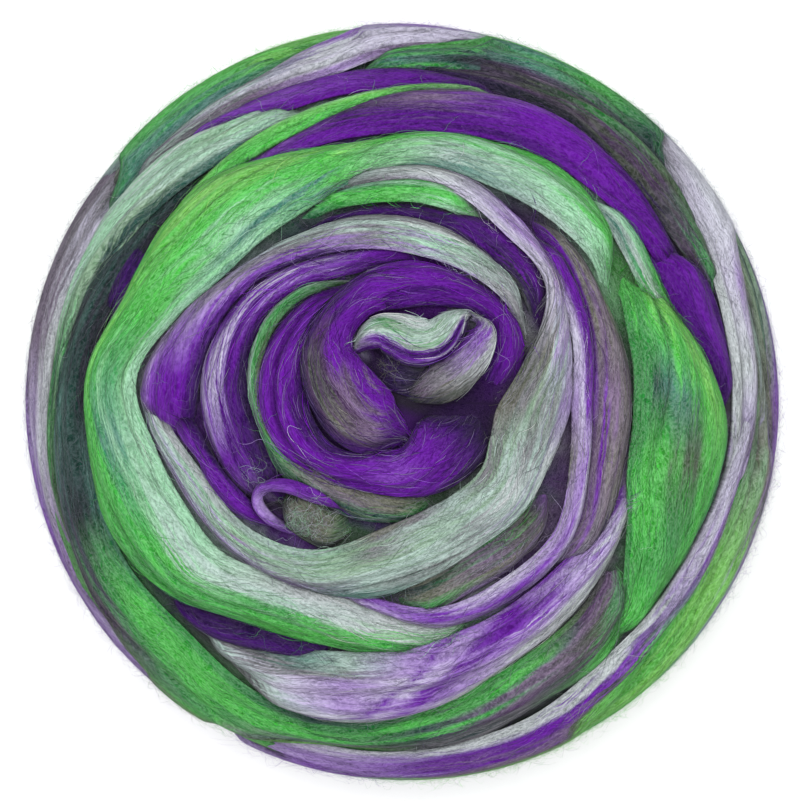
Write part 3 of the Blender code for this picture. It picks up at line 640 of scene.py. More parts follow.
def relief(along, across, shares, width, height, seed):
    """How far a turn's skin stands up: its round back, its combed bundles and its creases."""
    along, width = along[:, None], width[:, None]
    rise = np.sin(pi * shares) ** CROWN_POWER * height[:, None]
    flat = np.minimum(1, 4 * np.minimum(shares, 1 - shares) + 0.15)
    for number, (count, speed, tall) in enumerate(BUNDLES):
        lanes = across * count + 0.6 * rolling(along * speed, across * 0.1, seed + 7)
        bundle = rolling(along * speed, lanes + 31.0 * seed, seed + 11 * number)
        rise = rise + tall * flat * bundle * np.minimum(1, width / FULL_BUNDLE_WIDTH)
    lanes = across * CREASES_TO_A_MM + 17.0 * seed
    nearness = np.abs(rolling(along * CREASE_SPEED, lanes, seed + 21)) / CREASE_WIDTH
    creased = smoothstep((width - CREASED_FROM) / (CREASED_FULLY - CREASED_FROM))
    return rise - CREASE_DEPTH * flat * (1 - smoothstep(nearness)) * creased


def turn_colours(name, dyes, along, across, shares, width, seed):
    """A turn's colours, and the colours of the streaks among them."""
    rows, along, wide = len(along), along[:, None], width[:, None]
    wander = 0
    for number, (reach, speed, count) in enumerate(STRAYING):
        wander = wander + reach * rolling(along * speed, across * count, seed + 3 + number)
    wander = wander * np.minimum(1, wide / 10) / np.maximum(wide, 5)
    aside = STREAK_REACH * rolling(along * STREAK_SPEED, across * STREAKS_TO_A_MM, seed + 6)
    aside = aside / np.maximum(wide, 8) + wander
    colours = dye_grid(dyes, rows, np.clip(shares + wander, 0, 1))
    others = dye_grid(dyes, rows, np.clip(shares + aside, 0, 1))
    for streak in STREAKS:
        if streak.turn == name:
            cover = streak_cover(streak, along[:, 0], shares, width, seed)
            colours = colours * (1 - cover) + dye(streak.dye) * cover
            others = others * (1 - 0.5 * cover) + dye(streak.dye) * 0.5 * cover
    return colours, others


def strand(name, seed, angle, lean, lift, height, along, width, dyes, side=False):
    """Builds a turn. angle and lean are callables from shares of its width to grids."""
    rows = len(along)
    spacing = SIDE_COLUMN_SPACING if side else COLUMN_SPACING
    columns = int(np.clip(width.max() / spacing, FEWEST_COLUMNS, MOST_COLUMNS))
    evenly = np.linspace(0, 1, columns + 1)
    over = 0.35 * (0.5 - 0.5 * np.cos(np.linspace(0, pi, columns + 1))) + 0.65 * evenly
    shares = np.broadcast_to(over, (rows, columns + 1))
    across = shares * width[:, None]

    def skin(at, rise):
        laid = ball_point(angle(at), lean(at), lift[:, None] + rise)
        laid[..., 2] = np.maximum(laid[..., 2], TABLE_CLEARANCE)
        return laid

    points = skin(shares, relief(along, across, shares, width, height, seed))
    beneath = np.linspace(1, 0, UNDER_COLUMNS + 2)[1:-1]
    under_shares = np.broadcast_to(beneath, (rows, UNDER_COLUMNS))
    under = skin(under_shares, -SUNK_DEPTH * np.sin(pi * under_shares))

    forward = unit(np.gradient(points, axis=0))
    sideways = unit(np.gradient(points, axis=1))
    normals = unit(np.cross(forward, sideways))
    outward = (normals * out_direction(points)).sum(-1).mean()
    normals = normals * (1 if outward > 0 else -1)

    colours, others = turn_colours(name, dyes, along, across, shares, width, seed)
    rings = np.concatenate([points, under], axis=1)
    shade = np.ones(shares.shape)
    return Strand(name, points, normals, colours, others, shade, along, across, rings, side)


def row_count(length):
    return max(10, int(length / ROW_SPACING) + 1)


def banded(name, seed, angle, inner, outer, lift, width_share, along, dyes, side):
    """A turn between two edges given as leans."""
    middle, half = (inner + outer) / 2, (outer - inner) / 2 * width_share
    reach = np.hypot(BALL_RADIUS * np.cos(middle), CROWN_RISE * np.sin(middle))
    height = np.clip(ROUNDNESS * half * reach, LEAST_HEIGHT, MOST_HEIGHT)

    def angles(shares):
        return np.broadcast_to(angle[:, None], shares.shape)

    def leans(shares):
        return middle[:, None] + half[:, None] * (2 * shares - 1)

    return strand(name, seed, angles, leans, lift, height, along, 2 * half * reach, dyes, side)


def make_turn(turn, seed):
    edges = np.array(turn.edges, float)
    sweep = radians(turn.step) * (len(edges) - 1)
    length = sweep * edges.mean()
    rows = row_count(length)
    at = np.linspace(0, len(edges) - 1, rows)
    lift = smooth_through(turn.lifts, np.linspace(0, len(turn.lifts) - 1, rows))
    inner, outer = lean_of(smooth_through(edges, at), lift[:, None]).T
    angle = radians(turn.first) + radians(turn.step) * at
    along = length * np.linspace(0, 1, rows)
    tuck = tucked(along, lift)
    return banded(turn.name, seed, angle, inner, outer, *tuck, along, turn.dyes, False)


def make_side_turn(turn, seed):
    sweep = radians(turn.sweep)
    rows = int(sweep * BALL_RADIUS / SIDE_SPACING)
    share = np.linspace(0, 1, rows)
    middle = np.radians(turn.lean_from + (turn.lean_to - turn.lean_from) * share)
    half = radians(turn.half)
    along = sweep * BALL_RADIUS * share
    tuck = tucked(along, turn.lift, SIDE_TUCK_DEPTH, SIDE_TUCK_LENGTH, SIDE_TUCK_WIDTH)
    angle = radians(turn.first) + sweep * share
    return banded(turn.name, seed, angle, middle - half, middle + half, *tuck, along, turn.dyes, True)


def make_fold(fold, seed):
    sections = np.array(fold.sections, float)
    length = np.linalg.norm(np.diff(sections[:, :2], axis=0), axis=1).sum()
    rows = row_count(2 * length)
    x, y, half, lift = smooth_through(sections, np.linspace(0, len(sections) - 1, rows)).T
    way = unit(np.stack([np.gradient(x), np.gradient(y)], axis=1))
    along = np.linspace(0, length, rows)
    lift, width_share = tucked(along, lift)
    half = half * width_share

    def seen(shares):
        offset = half[:, None] * (2 * shares - 1)
        return x[:, None] - way[:, 1:] * offset, y[:, None] + way[:, :1] * offset

    def angles(shares):
        seen_x, seen_y = seen(shares)
        return np.arctan2(seen_y, seen_x)

    def leans(shares):
        return lean_of(np.hypot(*seen(shares)))

    height = np.minimum(fold.height, 1.2 * half)
    return strand(fold.name, seed, angles, leans, lift, height, along, 2 * half, fold.dyes)


# ---------------------------------------------------------------- meshes


def new_piece(name, points, faces, colours, fibre, uv, material, others=None, light=None):
    """A mesh piece in metres, with its colours and fibre direction stored at each point."""
    mesh = bpy.data.meshes.new(name)
    mesh.from_pydata((points * MM).tolist(), [], faces)
    light = np.ones(len(colours)) if light is None else light
    for layer, values in (("shade", colours), ("streak", colours if others is None else others)):
        attribute = mesh.color_attributes.new(layer, "FLOAT_COLOR", "POINT")
        rgba = np.concatenate([values, light[:, None]], axis=1)
        attribute.data.foreach_set("color", rgba.astype(np.float32).ravel())
    run = mesh.attributes.new("fibre", "FLOAT_VECTOR", "POINT")
    run.data.foreach_set("vector", fibre.astype(np.float32).ravel())
    if uv is not None:
        mesh.uv_layers.new(name="OFBake").uv.foreach_set("vector", uv.astype(np.float32).ravel())
    mesh.materials.append(material)
    mesh.shade_smooth()
    mesh.update()
    piece = bpy.data.objects.new(name, mesh)
    bpy.context.scene.collection.objects.link(piece)
    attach(piece, BODY)
    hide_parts(NODE)
    return piece


def strands_piece(name, strands, material):
    """Joins turns into one piece. Each is a closed tube with a strip of the UV map."""
    points, faces, colours, others, light, fibre, uv = [], [], [], [], [], [], []
    count = 0
    longest = max(item.along[-1] for item in strands)
    for place, item in enumerate(strands):
        rows, around = item.rings.shape[:2]
        top = item.points.shape[1]
        under = around - top
        for found, values in ((colours, item.colours), (others, item.others), (light, item.shade)):
            # The underside of each tube is darkened to 0.3: painted shade under the turn.
            ring_values = np.concatenate([values, values[:, :under] * 0.3], axis=1)
            found.append(ring_values.reshape(-1, *values.shape[2:]))
        across = np.concatenate([item.across, np.zeros((rows, under))], axis=1)
        along = np.repeat(item.along[:, None], around, axis=1)
        seed = np.full(along.shape, 3.7 * (place + 1) + len(name))
        points.append(item.rings.reshape(-1, 3))
        fibre.append(np.stack([along, across, seed], axis=-1).reshape(-1, 3))
        index = count + np.arange(rows * around).reshape(rows, around)
        round_on = np.roll(index, -1, axis=1)
        quads = np.stack([index[:-1], round_on[:-1], round_on[1:], index[1:]], axis=-1)
        faces.extend(quads.reshape(-1, 4).tolist())
        faces.append(index[0][::-1].tolist())
        faces.append(index[-1].tolist())
        u = item.along / longest * 0.98 + 0.01
        v = (place + 0.04 + 0.92 * np.linspace(0, 1, around + 1)) / len(strands)
        u0, u1 = (np.repeat(part[:, None], around, axis=1) for part in (u[:-1], u[1:]))
        v0, v1 = (np.repeat(part[None], rows - 1, axis=0) for part in (v[:-1], v[1:]))
        corners = np.stack([np.stack([u0, v0], -1), np.stack([u0, v1], -1),
                            np.stack([u1, v1], -1), np.stack([u1, v0], -1)], axis=2)
        uv.append(corners.reshape(-1, 2))
        uv.append(np.stack([np.full(around, u[0]), v[:-1][::-1]], -1))
        uv.append(np.stack([np.full(around, u[-1]), v[:-1]], -1))
        count += rows * around
    return new_piece(name, np.concatenate(points), faces, np.concatenate(colours),
                     np.concatenate(fibre), np.concatenate(uv), material,
                     np.concatenate(others), np.concatenate(light))


def ribbons_piece(name, lines, sides, colours, material):
    """Flat fibres: lines and sides are fibres by points by 3, colours one for each fibre."""
    fibres, count = lines.shape[:2]
    taper = np.minimum(1, 3 * (0.5 - np.abs(np.linspace(-0.5, 0.5, count))) + 0.3)
    left, right = lines - sides * taper[:, None], lines + sides * taper[:, None]
    points = np.stack([left, right], axis=2).reshape(-1, 3)
    points[:, 2] = np.maximum(points[:, 2], TABLE_CLEARANCE)
    start = np.arange(fibres)[:, None] * count * 2 + np.arange(count - 1)[None] * 2
    faces = np.stack([start, start + 1, start + 3, start + 2], axis=-1).reshape(-1, 4).tolist()
    shades = np.repeat(colours, count * 2, axis=0)
    along = np.cumsum(np.linalg.norm(np.diff(lines, axis=1, prepend=lines[:, :1]), axis=-1), axis=1)
    across = np.broadcast_to([0.0, 0.3], (fibres, count, 2))
    seeds = np.broadcast_to(np.arange(fibres)[:, None, None] * 0.37, (fibres, count, 2))
    run = np.stack([np.repeat(along[..., None], 2, axis=2), across, seeds], axis=-1)
    return new_piece(name, points, faces, shades, run.reshape(-1, 3), None, material)


def colour_samples(strands, every):
    """A search tree of points on the turns, one in so many each way, and their colours."""
    samples = np.concatenate([item.points[::every, ::every].reshape(-1, 3) for item in strands])
    # These colours already carry the painted crease shade of the turns.
    shades = np.concatenate([item.colours[::every, ::every].reshape(-1, 3) for item in strands])
    near = KDTree(len(samples))
    for place, point in enumerate(samples):
        near.insert(point, place)
    near.balance()
    return near, shades


def filling_piece(strands, material):
    """The wool under the turns, in the colours of the turns that lie nearest, darkened as painted shade
    for the depth of the creases.
    """
    near, shades = colour_samples(strands, 3)
    angle, lean = np.meshgrid(np.linspace(0, 2 * pi, FILLING_ANGLES, endpoint=False),
                              np.linspace(0, pi, FILLING_LEANS))
    across = lean * BALL_RADIUS
    along = angle * BALL_RADIUS
    relief = FILLING_RELIEF * rolling(along * 0.04, across * 0.4 + angle, 5)
    points = ball_point(angle, lean, FILLING_LIFT + relief * np.sin(lean))
    points[..., 2] = np.maximum(points[..., 2], 2 * TABLE_CLEARANCE)
    colours = np.array([shades[[found[1] for found in near.find_n(point, FILLING_NEIGHBOURS)]].mean(axis=0)
                        for point in points.reshape(-1, 3)])
    rings = [points[0, 0], *points[1:-1].reshape(-1, 3), points[-1, 0]]
    flat = FILLING_ANGLES * (FILLING_LEANS - 1)
    # Darkened by FILLING_SHADE: painted shade for the depth of the creases.
    colours = np.concatenate([colours[:1], colours[FILLING_ANGLES:flat], colours[-1:]]) * FILLING_SHADE
    run = np.stack([along, across, np.full(along.shape, 9.1)], -1).reshape(-1, 3)
    run = np.concatenate([run[:1], run[FILLING_ANGLES:flat], run[-1:]])
    index = 1 + np.arange(FILLING_ANGLES * (FILLING_LEANS - 2)).reshape(-1, FILLING_ANGLES)
    after = np.roll(index, -1, axis=1)
    quads = np.stack([index[:-1], index[1:], after[1:], after[:-1]], -1).reshape(-1, 4).tolist()
    last = len(rings) - 1
    faces = quads + [[0, a, b] for a, b in zip(index[0].tolist(), after[0].tolist())]
    faces += [[last, b, a] for a, b in zip(index[-1].tolist(), after[-1].tolist())]
    return new_piece("filling", np.array(rings), faces, colours, run, None, material)


# ---------------------------------------------------------------- loose fibres


def read_at(grid, row, column):
    """Values of a grid at fractional rows and columns."""
    r = np.clip(np.floor(row).astype(int), 0, grid.shape[0] - 2)
    c = np.clip(np.floor(column).astype(int), 0, grid.shape[1] - 2)
    fr, fc = (row - r)[..., None], (column - c)[..., None]
    low = grid[r, c] * (1 - fc) + grid[r, c + 1] * fc
    high = grid[r + 1, c] * (1 - fc) + grid[r + 1, c + 1] * fc
    return low * (1 - fr) + high * fr


def strands_tree(strands):
    points, faces, count = [], [], 0
    for item in strands:
        rows, columns = item.points.shape[:2]
        index = count + np.arange(rows * columns).reshape(rows, columns)
        quads = np.stack([index[:-1, :-1], index[:-1, 1:], index[1:, 1:], index[1:, :-1]], axis=-1)
        points.append(item.points.reshape(-1, 3))
        faces.append(quads.reshape(-1, 4))
        count += rows * columns
    return BVHTree.FromPolygons(np.concatenate(points).tolist(), np.concatenate(faces).tolist())


def crease_shade(tree, points, normals):
    """How much light reaches each point: 1 in the open, less in a crease between turns."""
    number = np.arange(CREASE_RAYS) + 0.5
    z = 1 - 2 * number / CREASE_RAYS
    ring, turn = np.sqrt(1 - z * z), number * GOLDEN_ANGLE
    ways = np.stack([ring * np.cos(turn), ring * np.sin(turn), z], axis=-1)
    flat, normal = points.reshape(-1, 3), normals.reshape(-1, 3)
    starts = flat + 0.3 * normal
    light, total = np.zeros(len(flat)), np.zeros(len(flat))
    for way in ways:
        facing = normal @ way
        towards = Vector(way)
        for place in np.nonzero(facing > GRAZING)[0]:
            hit = tree.ray_cast(Vector(starts[place]), towards, CREASE_REACH)[3]
            total[place] += facing[place]
            light[place] += facing[place] * (1.0 if hit is None else BLOCKED_LIGHT * hit / CREASE_REACH)
    share = (light / np.maximum(total, 1e-6)) ** CREASE_POWER
    return (CREASE_LEAST + (1 - CREASE_LEAST) * share).reshape(points.shape[:-1])


def shaded(item, tree):
    """The turn with its colours darkened in the creases. Shade is found on a coarser grid."""
    rows, columns = item.points.shape[:2]
    r = np.unique(np.append(np.arange(0, rows, 2), rows - 1))
    c = np.unique(np.append(np.arange(0, columns, 2), columns - 1))
    coarse = crease_shade(tree, item.points[np.ix_(r, c)], item.normals[np.ix_(r, c)])
    by_row = np.array([np.interp(np.arange(columns), c, line) for line in coarse])
    shade = np.array([np.interp(np.arange(rows), r, line) for line in by_row.T]).T
    lit = shade[..., None]
    return item._replace(colours=item.colours * lit, others=item.others * lit, shade=shade)


def laid_on(tree, points, above=14.0):
    """The points moved in or out onto the outermost turn."""
    outward = out_direction(points).reshape(-1, 3)
    flat = points.reshape(-1, 3)
    starts = flat + above * outward
    laid = flat.copy()
    for place, (start, way) in enumerate(zip(starts, outward)):
        distance = tree.ray_cast(Vector(start), Vector(-way), 2 * above)[3]
        if distance is not None:
            laid[place] = start - way * distance
    return laid.reshape(points.shape)


def eased(lines, rounds):
    """Lines smoothed along their length, so that they bridge creases and steps."""
    for _ in range(rounds):
        middle = 0.5 * lines[:, 1:-1] + 0.25 * (lines[:, :-2] + lines[:, 2:])
        lines = np.concatenate([lines[:, :1], middle, lines[:, -1:]], axis=1)
    return lines


def loose_fibres(item, tree, rng):
    """Crimped fibres that lie along a turn and over its edges, a little askew."""
    area = item.along[-1] * item.across[:, -1].mean()
    count = int(area * FIBRES_TO_A_SQUARE_MM * (SIDE_FIBRE_SHARE if item.side else 1.0))
    rows, columns = item.points.shape[:2]
    t = np.linspace(-0.5, 0.5, FIBRE_POINTS)
    middle = rng.uniform(0, rows - 1, count)
    share = rng.uniform(0.0, 1.0, count)
    place = read_at(item.points, middle, share * (columns - 1))
    seen = np.linalg.norm(laid_on(tree, place) - place, axis=-1) < BURIED_FROM
    middle, share, place = middle[seen, None], share[seen, None], place[seen]
    count = len(middle)
    dyed_at = np.clip(share[:, 0] + rng.normal(0, DYE_SPREAD, count), 0, 1)
    # The turn's colours carry its painted crease shade, so fibres in the creases are painted darker too.
    base = read_at(item.colours, middle[:, 0], dyed_at * (columns - 1))
    length = rng.uniform(*FIBRE_LENGTHS, count)[:, None]
    row = middle + t * length * (rows - 1) / item.along[-1]
    width = np.interp(middle[:, 0], np.arange(rows), item.across[:, -1])[:, None]
    slant = np.where(rng.random(count) < WILD_SHARE, WILD_SLANT, FIBRE_SLANT)[:, None]
    askew = rng.normal(0, 1, count)[:, None] * slant * length
    bend = rng.normal(0, FIBRE_BEND, count)[:, None] * length
    kinks = FIBRE_KINK * np.cumsum(rng.normal(0, 1, (count, FIBRE_POINTS)), axis=1)
    kinks = 0.6 * (kinks - kinks.mean(axis=1, keepdims=True)) + rng.normal(0, FIBRE_KINK, kinks.shape)
    offset = askew * t + bend * (t * t - 0.08) + kinks
    share = share + offset / np.maximum(width, 2)
    inside = (row[:, 0] > -2) & (row[:, -1] < rows + 1) & (np.abs(share - 0.5) < 1.2).all(axis=1)
    row, share, base = row[inside], share[inside], base[inside]
    lines = eased(laid_on(tree, read_at(item.points, row, share * (columns - 1))), 1)
    outward = out_direction(lines)
    rise = rng.uniform(*FIBRE_RISES, len(row))[:, None]
    loop = np.where(rng.random(len(row)) < LOOP_SHARE, rng.uniform(*LOOP_RISES, len(row)), 0)[:, None]
    lines = lines + outward * (rise + loop * (1 - 4 * t * t))[..., None]
    forward = unit(np.gradient(lines, axis=1))
    half = rng.uniform(*FIBRE_WIDTHS, len(lines))[:, None, None] / 2
    sides = unit(np.cross(outward, forward)) * half
    bright = np.exp(rng.normal(*FIBRE_BRIGHTNESS, len(lines)))[:, None]
    dull = (base[:, 1] > GREENISH_FROM * base[:, 2]) & (base.max(axis=1) < DULL_BELOW)
    pale = rng.random(len(lines)) < np.where(dull, DULL_PALE_SHARE, PALE_SHARE)
    pale = (pale * rng.uniform(*PALE_MIX, len(lines)))[:, None]
    tint = base * bright * (1 - pale) + dye("pearl") * pale
    return lines, sides, np.clip(tint, DARKEST, PALEST_FIBRE)


def draped(tree, xy, rise):
    """Points seen from above at xy, laid on the topmost turn and raised by rise."""
    points = []
    for (x, y), up in zip(xy, rise):
        hit = tree.ray_cast(Vector((x, y, 200.0)), Vector((0, 0, -1)), 200.0)[0]
        points.append((x, y, (hit.z if hit is not None else RIM_HEIGHT) + up))
    return np.array(points)


def smoothed(line, rounds=3):
    """The line with its height evened out along it."""
    for _ in range(rounds):
        line[1:-1, 2] = 0.5 * line[1:-1, 2] + 0.25 * (line[:-2, 2] + line[2:, 2])
    return line


def named_hair(tree, points, rng):
    """A stray hair through its points, with a small curl."""
    xy = smooth_through(points, np.linspace(0, len(points) - 1, HAIR_POINTS))
    curl = 0.35 * np.sin(np.linspace(0, rng.uniform(9, 16), HAIR_POINTS) + rng.uniform(0, 6))
    way = unit(np.gradient(xy, axis=0))
    xy = xy + curl[:, None] * np.stack([-way[:, 1], way[:, 0]], axis=1)
    rise = 0.5 + 0.3 * np.sin(np.linspace(0, 7, HAIR_POINTS))
    return smoothed(draped(tree, xy, rise))


def curly_path(rng, heading, turn, curl, lengths):
    """A curly path as seen from above, which sets off from the origin at this heading."""
    turning = rng.normal(0, turn) + curl * rng.normal(0, 1, HAIR_POINTS)
    heading = heading + np.cumsum(turning)
    step = rng.uniform(*lengths) / HAIR_POINTS
    return np.cumsum(np.stack([np.cos(heading), np.sin(heading)], axis=1) * step, axis=0)


def strewn_hair(tree, near, shades, rng):
    """A curly hair somewhere on the crown and its colour, or None where it passes the rim."""
    radius = STRAY_FIELD * np.sqrt(rng.random())
    angle = rng.uniform(0, 2 * pi)
    heading = angle + pi / 2 + rng.normal(0, 0.7)
    xy = curly_path(rng, heading, STRAY_TURN, STRAY_CURL, STRAY_LENGTHS)
    xy = xy + [radius * np.cos(angle), radius * np.sin(angle)]
    if np.hypot(*xy.T).max() > STRAY_LIMIT:
        return None
    rise = 0.25 + 0.5 * rng.random() * np.sin(np.linspace(0, pi, HAIR_POINTS))
    line = smoothed(draped(tree, xy, rise), 7)
    local = shades[near.find(line[HAIR_POINTS // 2])[1]]
    return line, local * rng.uniform(*STRAY_BRIGHT) + dye("pearl") * rng.uniform(*STRAY_PALE)


def tangle_hair(tree, tangle, rng):
    """A curly hair of a tangle, and its colour."""
    xy = curly_path(rng, rng.uniform(0, 2 * pi), TANGLE_TURN, TANGLE_CURL, TANGLE_LENGTHS)
    aside = rng.normal(0, tangle.reach / TANGLE_SPREAD, 2)
    xy = xy - xy.mean(axis=0) + aside + [tangle.x, tangle.y]
    rise = rng.uniform(0.1, 0.9) + 0.5 * np.sin(np.linspace(0, pi, HAIR_POINTS))
    line = smoothed(draped(tree, xy, rise), 9)
    return line, dye(rng.choice(tangle.dyes.split())) * rng.uniform(*TANGLE_BRIGHT)


def stray_hairs(tree, strands, rng):
    """The hairs that can be told apart, then curly hairs over the crown, then the tangles."""
    hairs = [(named_hair(tree, hair.points, rng), 1.3 * dye(hair.dye)) for hair in HAIRS]
    near, shades = colour_samples(strands, 4)
    strewn = [strewn_hair(tree, near, shades, rng) for _ in range(STRAY_HAIRS)]
    hairs += [hair for hair in strewn if hair is not None]
    hairs += [tangle_hair(tree, tangle, rng) for tangle in TANGLES for _ in range(tangle.hairs)]
    lines, colours = (np.array(part) for part in zip(*hairs))
    forward = unit(np.gradient(lines, axis=1))
    wide = np.where(np.arange(len(lines)) < len(HAIRS), NAMED_HAIR_WIDTH, STRAY_WIDTH)
    sides = unit(np.cross(out_direction(lines), forward)) * wide[:, None, None] / 2
    return lines, sides, np.clip(colours, DARKEST, PALEST_HAIR)


def rim_hairs(strands, rng):
    """Short fine hairs that stand off the ball's widest line."""
    points = np.concatenate([item.points.reshape(-1, 3) for item in strands])
    # These colours carry the painted crease shade of the turns.
    colours = np.concatenate([item.colours.reshape(-1, 3) for item in strands])
    across = np.hypot(points[:, 0], points[:, 1])
    round_share = np.arctan2(points[:, 1], points[:, 0]) / (2 * pi) + 0.5
    sector = (round_share * RIM_SECTORS).astype(int) % RIM_SECTORS
    widest = np.zeros(RIM_SECTORS)
    np.maximum.at(widest, sector, across)
    rooted = np.nonzero(across > widest[sector] - RIM_ROOTS)[0]
    rooted = rooted[rng.integers(len(rooted), size=RIM_HAIRS)]
    start, tint = points[rooted][:, None], colours[rooted]
    each = (RIM_HAIRS, 1, 1)
    out = out_direction(start)
    turned = np.cross([0, 0, 1], out) * rng.choice([-1, 1], RIM_HAIRS)[:, None, None]
    slope = rng.normal(0, RIM_SLOPE, each)
    round_way = unit(turned + np.cross(out, turned) * slope)
    t = np.linspace(0, 1, RIM_HAIR_POINTS)[None, :, None]
    short = rng.random(each) < RIM_SHORT_SHARE
    length = np.where(short, rng.uniform(*RIM_SHORT, each), rng.uniform(*RIM_LONG, each))
    stand = rng.exponential(RIM_STAND, each)
    arch = np.sin(pi * t * rng.uniform(*RIM_ARCH, each))
    curl = RIM_CURL * rng.random(each) * np.sin(t * rng.uniform(5, 14, each))
    lines = start + round_way * t * length + out * np.minimum(stand, MOST_RIM_STAND) * arch
    lines = lines + curl * np.cross(round_way, out)
    forward = unit(np.gradient(lines, axis=1))
    sides = unit(np.cross(out_direction(lines) + [0, 0, 0.3], forward)) * RIM_HAIR_WIDTH / 2
    # Lightened beyond the wool they grow from: partly paler fibres, partly a painted highlight on the
    # fringe.
    bright, pale = rng.uniform(*RIM_BRIGHT, (RIM_HAIRS, 1)), rng.uniform(*RIM_PALE, (RIM_HAIRS, 1))
    return lines, sides, np.clip(tint * bright + dye("pearl") * pale, DARKEST, PALEST_HAIR)


# ---------------------------------------------------------------- materials


class Nodes:
    """Adds nodes to a material's tree and links them by socket names."""

    def __init__(self, material):
        material.use_nodes = True
        self.tree = material.node_tree
        self.shader = self.tree.nodes["Principled BSDF"]

    def add(self, kind, inputs=None, **settings):
        node = self.tree.nodes.new(kind)
        for key, value in settings.items():
            setattr(node, key, value)
        for key, value in (inputs or {}).items():
            self.put(node.inputs[key], value)
        return node

    def put(self, socket, value):
        if isinstance(value, bpy.types.NodeSocket):
            self.tree.links.new(value, socket)
        else:
            socket.default_value = value

    def math(self, operation, a, b=0.0):
        return self.add("ShaderNodeMath", {0: a, 1: b}, operation=operation).outputs[0]

    def times(self, a, b):
        return self.math("MULTIPLY", a, b)

    def plus(self, a, b):
        return self.math("ADD", a, b)

    def vector(self, operation, inputs):
        return self.add("ShaderNodeVectorMath", inputs, operation=operation).outputs[0]

    def mix(self, share, first, second):
        return self.add("ShaderNodeMix", {0: share, 6: first, 7: second}, data_type="RGBA").outputs[2]

    def combine(self, x, y, z):
        return self.add("ShaderNodeCombineXYZ", {0: x, 1: y, 2: z}).outputs[0]

    def noise(self, vector, scale=1.0, detail=2.0, roughness=0.5):
        node = self.add("ShaderNodeTexNoise", {"Vector": vector, "Scale": scale, "Detail": detail,
                                               "Roughness": roughness})
        return node.outputs["Fac"]

    def spread(self, value, low, high, to_low, to_high):
        node = self.add("ShaderNodeMapRange", {0: value, 1: low, 2: high, 3: to_low, 4: to_high})
        return node.outputs[0]


